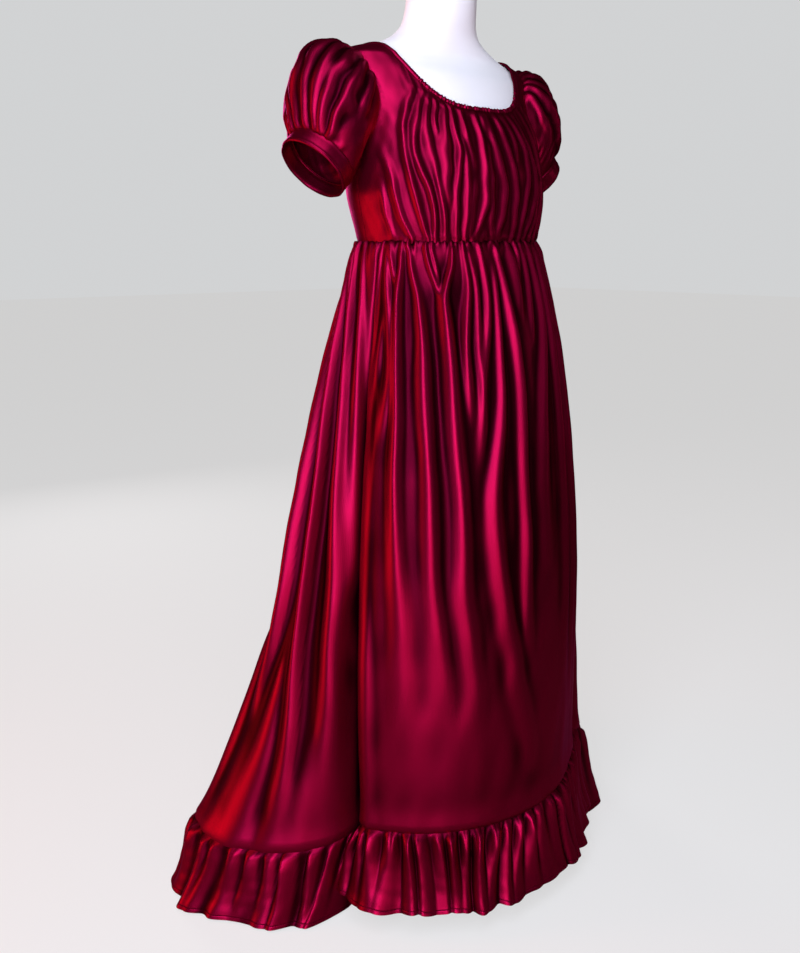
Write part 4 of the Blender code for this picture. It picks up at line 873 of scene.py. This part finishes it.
def flounceField(run, v, spec, seed):
    # fine folds that start as gathers at the seam and open out into broad soft waves at the hem
    rng = np.random.default_rng(seed)
    whole = run.max()
    fine, broad, gathers = (np.zeros(np.broadcast(run, v).shape) for _ in range(3))
    sway = flounce["sway"] * (np.sin(run * 17.0 + seed) + np.sin(run * 29.0 + 2.0 * seed)) * v * (1.4 - 0.4 * v)
    place = run + sway
    for kind, count in (("fine", spec["folds"]), ("broad", spec["waves"])):
        step = whole / count
        middles = step * (np.arange(-1, count + 1) + 0.5 + rng.uniform(-0.34, 0.34, count + 2))
        for i in range(1, count + 1):
            middle, before, after = middles[i], middles[i] - middles[i - 1], middles[i + 1] - middles[i]
            strength = rng.uniform(0.45, 1.25)
            side = (place - middle) / np.where(place < middle, before, after)
            if kind == "broad":
                away = np.clip(side / 0.62, -1, 1)
                rise = spec["waveRise"] * strength * smoothStep(v / 1.1)
                broad = broad + (rise * np.cos(np.pi / 2 * away) ** 1.6) ** 1.6
                continue
            end = rng.uniform(0.55, 1.6)
            away = np.clip(side / (0.44 + 0.16 * smoothStep(v / 0.6)), -1, 1)
            fade = 1 - 0.85 * smoothStep((v - 0.2) / end)
            rise = spec["foldRise"] * strength * (0.55 + 0.45 * smoothStep(v / 0.25)) * fade
            fine = fine + (rise * np.cos(np.pi / 2 * away) ** 1.2) ** 2
            merge = rng.uniform(0.30, 0.65)
            for k in range(rng.integers(1, 4)):
                offset = (k - 0.8 + rng.uniform(-0.2, 0.2)) * 0.36 * step
                share = np.clip(v / merge, 0, 1)
                small = (place - middle - offset * (1 - 0.8 * share)) / (step * 0.20 * (1 + 0.6 * share))
                small = np.clip(small, -1, 1)
                rise = flounce["gatherRise"] * strength * (1 - smoothStep(share))
                gathers = gathers + (rise * np.cos(np.pi / 2 * small) ** 1.3) ** 2
    return np.sqrt(fine) + broad ** (1 / 1.6) + np.sqrt(gathers)


def flouncePiece(name, which, width, length):
    spec, seed = flounce[which], flounce[which]["seed"]
    first, last = panelEnds[which]
    angle = np.linspace(first, last, spec["columns"] + 1)[None, :]
    edge = skirtPoint(angle, np.ones_like(angle))[0]
    run = np.concatenate([[0.0], np.cumsum(np.linalg.norm(np.diff(edge[:, :2], axis=0), axis=1))])
    even = np.linspace(0, run[-1], spec["columns"] + 1)
    angle = np.interp(even, run, angle[0])[None, :]  # columns are evenly spaced along the seam
    v = np.linspace(0, 1, flounce["rows"] + 1)[:, None] ** 1.1
    run = even[None, :] + 0 * v
    angle, v = angle + 0 * v, v + 0 * angle
    line = angle[:1]
    ones = np.ones_like(line)
    edgeOut = np.interp(line[0], *skirtFoot[which])[None, :] + flounce["overEdge"]
    foot = skirtPoint(line, ones) + skirtOutward(line, ones) * edgeOut[..., None]
    foot = foot + 0 * angle[..., None]
    out = unit(foot * [1, 1, 0])
    field = flounceField(run, v, spec, seed)
    # painted shade for the hollows between the folds
    paintedShade = paintedShadeOf(field, flounce["paintedShadeReach"], flounce["paintedShadeDepth"])
    field = soften(field, 1) - spec["waveRise"] * 0.45 * smoothStep(v)
    ends = smoothStep(np.minimum(run, run.max() - run) / 0.02)
    bulge = flounce["bulge"] * smoothStep(v / flounce["bulgeReach"])
    field = field * (0.25 + 0.75 * ends) * smoothStep((v + 0.005) / 0.10)
    away = spec["flare"] * (0.35 * v + 0.65 * v * v) + field + bulge
    away = away - flounce["tuck"] * (1 - smoothStep(v / 0.05))
    away = away + 0.0006 * ripple(run * 14, v * 2, seed + 1) * v
    if which == "train":  # it lies flatter where it turns away behind its own fold
        flat = smoothStep((angle - spec["flatFrom"]) / 14) * smoothStep((spec["flatTo"] - angle) / 8)
        away = away * (1.0 - 0.75 * flat)
    if spec["lap"]:  # the front flounce laps over the train's at both side seams
        nearEnd = smoothStep(1.0 - np.minimum(run, run.max() - run) / 0.045)
        away = away + 0.55 * spec["lap"] * nearEnd * smoothStep(v / 0.35)
    else:
        nearEnd = smoothStep(1.0 - np.minimum(run, run.max() - run) / 0.05)
        away = away * (1.0 - 0.45 * nearEnd)
    grid = foot + out * away[..., None]
    if spec["lap"]:
        sideways = np.stack([-out[..., 1], out[..., 0], 0 * run], -1)
        toEnd = np.where(run < run.max() / 2, -1.0, 1.0) * spec["lap"] * nearEnd * smoothStep(v / 0.5)
        grid = grid + sideways * toEnd[..., None]
    top = foot[..., 2] + flounce["lift"]
    sag = flounce["sagDepth"] * ripple(run * 6, 0 * v, seed + 2) * v * spec["sag"]
    grid[..., 2] = top + (spec["hem"] - top) * v + sag
    grid[..., 2] = np.maximum(grid[..., 2], flounce["wallRoom"])
    uv = cutMap(grid.shape[0], grid.shape[1], width, length)
    uv[..., 1] = (1 - v) * length  # v of the cut is the distance from the hem
    return sheetMesh(name, grid, uv, outward=-1.0, paintedShade=paintedShade)


# finishes

def newGroup(name, inputs, outputs):
    group = bpy.data.node_groups.new(name, "ShaderNodeTree")
    for label, kind, value in inputs:
        socket = group.interface.new_socket(name=label, in_out="INPUT", socket_type="NodeSocket" + kind)
        if value is not None:
            socket.default_value = value
    for label, kind in outputs:
        group.interface.new_socket(name=label, in_out="OUTPUT", socket_type="NodeSocket" + kind)
    start, end = group.nodes.new("NodeGroupInput"), group.nodes.new("NodeGroupOutput")
    return group, start, end


def mathNode(tree, operation, first, second=None, third=None):
    node = tree.nodes.new("ShaderNodeMath")
    node.operation = operation
    for i, value in enumerate((first, second, third)):
        if value is None:
            continue
        if isinstance(value, (int, float)):
            node.inputs[i].default_value = value
        else:
            tree.links.new(value, node.inputs[i])
    return node.outputs[0]


def setInputs(tree, node, values):
    for label, value in values.items():
        if isinstance(value, (int, float, tuple)):
            node.inputs[label].default_value = value
        else:
            tree.links.new(value, node.inputs[label])


def noise(tree, place, scale, detail=2.0, roughness=0.5):
    node = tree.nodes.new("ShaderNodeTexNoise")
    setInputs(tree, node, {"Vector": place, "Scale": scale, "Detail": detail, "Roughness": roughness})
    return node.outputs["Fac"]


def scaled(tree, place, factors):
    node = tree.nodes.new("ShaderNodeVectorMath")
    node.operation = "MULTIPLY"
    tree.links.new(place, node.inputs[0])
    node.inputs[1].default_value = factors
    return node.outputs[0]


def weaveGroup():
    # satin floats: long fine threads along the cloth, tied down on a slant, with a slight slub
    inputs = [("Cut", "Vector", None), ("Threads", "Float", 2600.0)]
    group, start, end = newGroup("satinWeave", inputs, [("Height", "Float"), ("Tone", "Float")])
    split = group.nodes.new("ShaderNodeSeparateXYZ")
    group.links.new(start.outputs["Cut"], split.inputs[0])
    across = mathNode(group, "MULTIPLY", split.outputs[0], start.outputs["Threads"])
    along = mathNode(group, "MULTIPLY", split.outputs[1], mathNode(group, "MULTIPLY", start.outputs["Threads"], 0.22))
    slant = mathNode(group, "ADD", across, mathNode(group, "MULTIPLY", along, 1.7))
    thread = mathNode(group, "SINE", across)
    tie = mathNode(group, "SINE", slant)
    lines = mathNode(group, "ADD", mathNode(group, "MULTIPLY", thread, 0.3), mathNode(group, "MULTIPLY", tie, 0.2))
    slub = noise(group, scaled(group, start.outputs["Cut"], (900.0, 60.0, 1.0)), 1.0, 3.0)
    group.links.new(mathNode(group, "ADD", lines, slub), end.inputs["Height"])
    group.links.new(slub, end.inputs["Tone"])
    return group


def wrinkleGroup():
    # the small dents that handling leaves in the cloth, on the object's own coordinates
    inputs = [("Place", "Vector", None), ("Scale", "Float", 9.0)]
    group, start, end = newGroup("softDents", inputs, [("Height", "Float"), ("Mask", "Float")])
    place, scale = scaled(group, start.outputs["Place"], (1.0, 1.0, 0.32)), start.outputs["Scale"]
    broad = noise(group, place, scale, 2.0, 0.45)
    fine = noise(group, place, mathNode(group, "MULTIPLY", scale, 4.3), 1.0)
    group.links.new(mathNode(group, "ADD", broad, mathNode(group, "MULTIPLY", fine, 0.16)), end.inputs["Height"])
    group.links.new(broad, end.inputs["Mask"])
    return group


def stitchGroup():
    # one row of stitches at a distance from the cut's edge, with the small trough they pull
    inputs = [("Cut", "Vector", None), ("Distance", "Float", 0.006), ("Pitch", "Float", 0.0028),
              ("Width", "Float", 0.0007)]
    group, start, end = newGroup("stitchRow", inputs, [("Stitch", "Float"), ("Trough", "Float")])
    split = group.nodes.new("ShaderNodeSeparateXYZ")
    group.links.new(start.outputs["Cut"], split.inputs[0])
    away = mathNode(group, "ABSOLUTE", mathNode(group, "SUBTRACT", split.outputs[1], start.outputs["Distance"]))
    inLine = mathNode(group, "LESS_THAN", away, mathNode(group, "MULTIPLY", start.outputs["Width"], 0.5))
    beat = mathNode(group, "FRACT", mathNode(group, "DIVIDE", split.outputs[0], start.outputs["Pitch"]))
    dash = mathNode(group, "LESS_THAN", beat, 0.72)
    group.links.new(mathNode(group, "MULTIPLY", inLine, dash), end.inputs["Stitch"])
    far = mathNode(group, "DIVIDE", away, mathNode(group, "MULTIPLY", start.outputs["Width"], 2.4))
    trough = mathNode(group, "SUBTRACT", 1.0, mathNode(group, "MINIMUM", far, 1.0))
    group.links.new(trough, end.inputs["Trough"])
    return group


groups = {"weave": weaveGroup(), "dents": wrinkleGroup(), "stitch": stitchGroup()}
satin = {
    "deep": (0.155, 0.0010, 0.016, 1.0), "bright": (0.220, 0.0018, 0.029, 1.0),  # over the soft dents
    "paintedShade": (0.010, 0.0001, 0.0010, 1.0), "paintedShadeStrength": 0.88,  # painted shade: the dark colour mixed into the hollows between folds, and how much of it
    "tint": (1.0, 0.05, 0.55, 1.0), "ior": 1.5, "level": 0.5, "metallic": 0.92,
    "roughness": 0.390, "roughnessRange": 0.08, "thread": (0.05, 0.0005, 0.005, 1.0),
}


def placeGroup(tree, group, **values):
    node = tree.nodes.new("ShaderNodeGroup")
    node.node_tree = group
    setInputs(tree, node, values)
    return node


def mixColour(tree, factor, first, second):
    node = tree.nodes.new("ShaderNodeMix")
    node.data_type = "RGBA"
    tree.links.new(factor, node.inputs[0])
    for socket, value in ((node.inputs[6], first), (node.inputs[7], second)):
        if isinstance(value, tuple):
            socket.default_value = value
        else:
            tree.links.new(value, socket)
    return node.outputs[2]


def bump(tree, height, distance, strength, normal=None):
    node = tree.nodes.new("ShaderNodeBump")
    setInputs(tree, node, {"Strength": strength, "Distance": distance, "Height": height})
    if normal is not None:
        tree.links.new(normal, node.inputs["Normal"])
    return node.outputs["Normal"]


def newMaterial(name):
    material = bpy.data.materials.new(name)
    material.use_nodes = True
    tree = material.node_tree
    return material, tree, tree.nodes["Principled BSDF"], tree.nodes.new("ShaderNodeTexCoord")


def satinMaterial(name, stitches=(), dents=9.0):
    material, tree, shader, place = newMaterial(name)
    weave = placeGroup(tree, groups["weave"], Cut=place.outputs["UV"])
    dent = placeGroup(tree, groups["dents"], Place=place.outputs["Object"], Scale=dents)
    colour = mixColour(tree, dent.outputs["Mask"], satin["deep"], satin["bright"])
    # painted shade: the colour goes towards near black where the mesh's mask marks a hollow
    mask = tree.nodes.new("ShaderNodeAttribute")
    mask.attribute_name = "paintedShade"
    shade = mathNode(tree, "MULTIPLY", mask.outputs["Fac"], satin["paintedShadeStrength"])
    colour = mixColour(tree, shade, colour, satin["paintedShade"])
    height = weave.outputs["Height"]
    normal = bump(tree, dent.outputs["Height"], 0.010, 0.30)
    normal = bump(tree, height, 0.00012, 0.35, normal)
    for distance, pitch in stitches:
        row = placeGroup(tree, groups["stitch"], Cut=place.outputs["UV"], Distance=distance, Pitch=pitch)
        colour = mixColour(tree, row.outputs["Stitch"], colour, satin["thread"])
        trough = mathNode(tree, "MULTIPLY", row.outputs["Trough"], -1.0)
        normal = bump(tree, trough, 0.0006, 0.8, normal)
    least = satin["roughness"] - satin["roughnessRange"] / 2
    rough = mathNode(tree, "MULTIPLY_ADD", weave.outputs["Tone"], satin["roughnessRange"], least)
    setInputs(tree, shader, {
        "Base Color": colour, "Roughness": rough, "Normal": normal, "Metallic": satin["metallic"],
        "IOR": satin["ior"], "Specular IOR Level": satin["level"], "Specular Tint": satin["tint"],
    })
    return material


jersey = {"shade": (0.74, 0.76, 0.80, 1.0), "light": (0.86, 0.87, 0.90, 1.0), "roughness": 0.66, "sheen": 0.15}
paint = {"dark": (0.030, 0.030, 0.034, 1.0), "worn": (0.070, 0.070, 0.076, 1.0), "roughness": 0.28, "metallic": 0.6}


def coverMaterial():
    # smooth jersey over the form: fine ribs and a little fuzz
    material, tree, shader, place = newMaterial("formJersey")
    rib = tree.nodes.new("ShaderNodeTexWave")
    rib.wave_type, rib.bands_direction = "BANDS", "Z"
    setInputs(tree, rib, {"Vector": place.outputs["Object"], "Scale": 260.0, "Distortion": 1.5})
    cloud, grain = noise(tree, place.outputs["Object"], 6.0, 4.0), noise(tree, place.outputs["Object"], 900.0)
    colour = mixColour(tree, cloud, jersey["shade"], jersey["light"])
    height = mathNode(tree, "ADD", mathNode(tree, "MULTIPLY", rib.outputs["Fac"], 0.5), grain)
    rough = mathNode(tree, "MULTIPLY_ADD", grain, 0.12, jersey["roughness"])
    normal = bump(tree, height, 0.0003, 0.35)
    setInputs(tree, shader, {
        "Base Color": colour, "Roughness": rough, "Normal": normal, "Sheen Weight": jersey["sheen"],
    })
    return material


def metalMaterial():
    material, tree, shader, place = newMaterial("standPaint")
    speck = noise(tree, place.outputs["Object"], 140.0, 4.0)
    colour = mixColour(tree, speck, paint["dark"], paint["worn"])
    rough = mathNode(tree, "MULTIPLY_ADD", speck, 0.25, paint["roughness"])
    normal = bump(tree, speck, 0.0003, 0.5)
    setInputs(tree, shader, {
        "Base Color": colour, "Roughness": rough, "Normal": normal, "Metallic": paint["metallic"],
    })
    return material


def dress(piece, material, node):
    piece.data.materials.clear()
    piece.data.materials.append(material)
    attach(piece, "root")
    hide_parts(node)


# the pieces

plainSatin = satinMaterial("satinPlain")
hemSatin = satinMaterial("satinHem", stitches=[(0.0065, 0.0026)], dents=12.0)
cuffSatin = satinMaterial("satinCuff", stitches=[(0.0042, 0.0024), (0.0235, 0.0024)], dents=16.0)
cut = {  # flat cut of each piece, width and length in metres
    "bodiceFront": (0.56, 0.27), "bodiceBack": (0.42, 0.27), "sleeve": (0.46, 0.17), "cuff": (0.345, 0.029),
    "skirtFront": (0.78, 0.99), "skirtBack": (1.45, 1.10), "flounceFront": (0.92, 0.14), "flounceBack": (2.30, 0.13),
}

print("form")
form = formPiece()
dress(form, coverMaterial(), "form_torso")
standPaint = metalMaterial()
carried = (("form_neck_cap", form.data.materials[0]), ("stand_pole", standPaint), ("stand_base", standPaint))
for node, material in carried:
    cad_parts[node].data.materials.clear()
    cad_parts[node].data.materials.append(material)

print("bodice")
bodiceFront = bodicePanel("bodiceFront", False, *cut["bodiceFront"])
bodiceBack = bodicePanel("bodiceBack", True, *cut["bodiceBack"])
dress(bodiceFront, plainSatin, "bodice_front")
dress(bodiceBack, plainSatin, "bodice_back")
neckCasing = casingPiece()
dress(neckCasing, plainSatin, "neck_casing")

print("sleeves")
sleeves = {}
for hand, side in (("left", 1), ("right", -1)):
    sleeves[hand] = sleevePiece("sleeve" + hand.capitalize(), side, sleeve["seeds"][hand], *cut["sleeve"])
    dress(sleeves[hand], plainSatin, "sleeve_" + hand)
    sleeves[hand + "Cuff"] = cuffPiece("cuff" + hand.capitalize(), side, cuff["seeds"][hand], *cut["cuff"])
    dress(sleeves[hand + "Cuff"], cuffSatin, "cuff_" + hand)

print("skirt")
skirtFront = skirtPanel("skirtFront", "front", *cut["skirtFront"])
skirtBack = skirtPanel("skirtBack", "train", *cut["skirtBack"])
dress(skirtFront, plainSatin, "skirt_front")
dress(skirtBack, plainSatin, "skirt_back")

print("flounce")
flounceFront = flouncePiece("flounceFront", "front", *cut["flounceFront"])
flounceBack = flouncePiece("flounceBack", "train", *cut["flounceBack"])
dress(flounceFront, hemSatin, "flounce_front")
dress(flounceBack, hemSatin, "flounce_back")

print("sheets")


# floor, light and camera

studio = {
    "floor": (0.24, 0.24, 0.24, 1.0), "floorGlow": 0.62, "floorBelow": (0.34, 0.24, 0.22, 1.0), "floorSize": 40.0,
    "sky": (0.80, 0.81, 0.82, 1.0), "skyShown": 0.80, "fill": (1.0, 0.66, 0.58, 1.0), "fillLight": 0.035,
    "lights": [  # name, azimuth, distance, height of the centre, width, tall, power, colour, height it aims at
        ("key", -56.0, 2.5, 1.50, 1.15, 2.3, 72.0, (0.82, 0.88, 1.0), 1.1),
        ("side", -126.0, 2.3, 1.35, 0.75, 2.4, 19.0, (1.0, 0.22, 0.12), 1.0),
        ("front", 4.0, 2.6, 1.75, 0.30, 1.6, 3.5, (0.80, 0.88, 1.0), 1.2),
        ("lowFront", -42.0, 1.7, 0.38, 1.3, 1.5, 17.0, (1.0, 0.62, 0.72), 2.2),
        ("lowSide", -118.0, 1.7, 0.38, 0.8, 1.3, 8.0, (1.0, 0.22, 0.10), 2.4),
        ("far", 52.0, 2.8, 1.5, 0.35, 2.0, 3.5, (1.0, 0.80, 0.85), 1.0),
        ("back", 170.0, 3.0, 1.7, 1.0, 1.8, 25.0, (1.0, 0.95, 0.95), 1.0),
        ("above", -44.0, 1.5, 2.75, 1.5, 1.4, 30.0, (0.86, 0.88, 1.0), 1.2),
    ],
}
camera = {
    "place": (-1.1681, -1.2371, 1.1), "forward": (0.6392, 0.7354, -0.2250), "lens": 37.78, "sensor": 36.0,
}

print("studio")
bpy.ops.mesh.primitive_plane_add(size=studio["floorSize"], location=(0, 0, -0.0005))
floor = bpy.context.object
floor.name = "floor"
paper = bpy.data.materials.new("paleFloor")
paper.use_nodes = True
tree = paper.node_tree
shown, below = tree.nodes["Principled BSDF"], tree.nodes.new("ShaderNodeBsdfPrincipled")
for shader, colour in ((shown, studio["floor"]), (below, studio["floorBelow"])):
    setInputs(tree, shader, {"Base Color": colour, "Roughness": 0.9, "Specular IOR Level": 0.1})
setInputs(tree, shown, {"Emission Color": (1.0, 1.0, 1.0, 1.0), "Emission Strength": studio["floorGlow"]})
path, chooser = tree.nodes.new("ShaderNodeLightPath"), tree.nodes.new("ShaderNodeMixShader")
tree.links.new(path.outputs["Is Camera Ray"], chooser.inputs[0])
tree.links.new(below.outputs[0], chooser.inputs[1])
tree.links.new(shown.outputs[0], chooser.inputs[2])
tree.links.new(chooser.outputs[0], tree.nodes["Material Output"].inputs["Surface"])
floor.data.materials.append(paper)

world = bpy.data.worlds.new("studio")
bpy.context.scene.world = world
world.use_nodes = True
tree = world.node_tree
tree.nodes.clear()
seen, lit, chooser, path, output = (tree.nodes.new("ShaderNode" + kind) for kind in (
    "Background", "Background", "MixShader", "LightPath", "OutputWorld"))
seen.inputs[0].default_value, seen.inputs[1].default_value = studio["sky"], studio["skyShown"]
lit.inputs[0].default_value, lit.inputs[1].default_value = studio["fill"], studio["fillLight"]
tree.links.new(path.outputs["Is Camera Ray"], chooser.inputs[0])
tree.links.new(lit.outputs[0], chooser.inputs[1])
tree.links.new(seen.outputs[0], chooser.inputs[2])
tree.links.new(chooser.outputs[0], output.inputs[0])

for name, azimuth, distance, height, wide, tall, power, colour, aimHeight in studio["lights"]:
    lamp = bpy.data.lights.new(name, "AREA")
    lamp.shape, lamp.size, lamp.size_y = "RECTANGLE", wide, tall
    lamp.energy, lamp.color = power, colour
    holder = bpy.data.objects.new(name, lamp)
    bpy.context.scene.collection.objects.link(holder)
    turn = math.radians(azimuth)
    holder.location = (distance * math.sin(turn), -distance * math.cos(turn), height)
    aim = Vector((0.0, 0.05, aimHeight)) - holder.location
    holder.visible_camera = False
    holder.rotation_euler = aim.to_track_quat("-Z", "Y").to_euler()

lens = bpy.data.cameras.new("camera")
lens.sensor_width, lens.lens, lens.sensor_fit = camera["sensor"], camera["lens"], "AUTO"
viewer = bpy.data.objects.new("camera", lens)
bpy.context.scene.collection.objects.link(viewer)
viewer.location = camera["place"]
viewer.rotation_euler = Vector(camera["forward"]).to_track_quat("-Z", "Y").to_euler()
bpy.context.scene.camera = viewer
bpy.context.scene.view_settings.view_transform = "Standard"
bpy.context.scene.view_settings.look = "None"
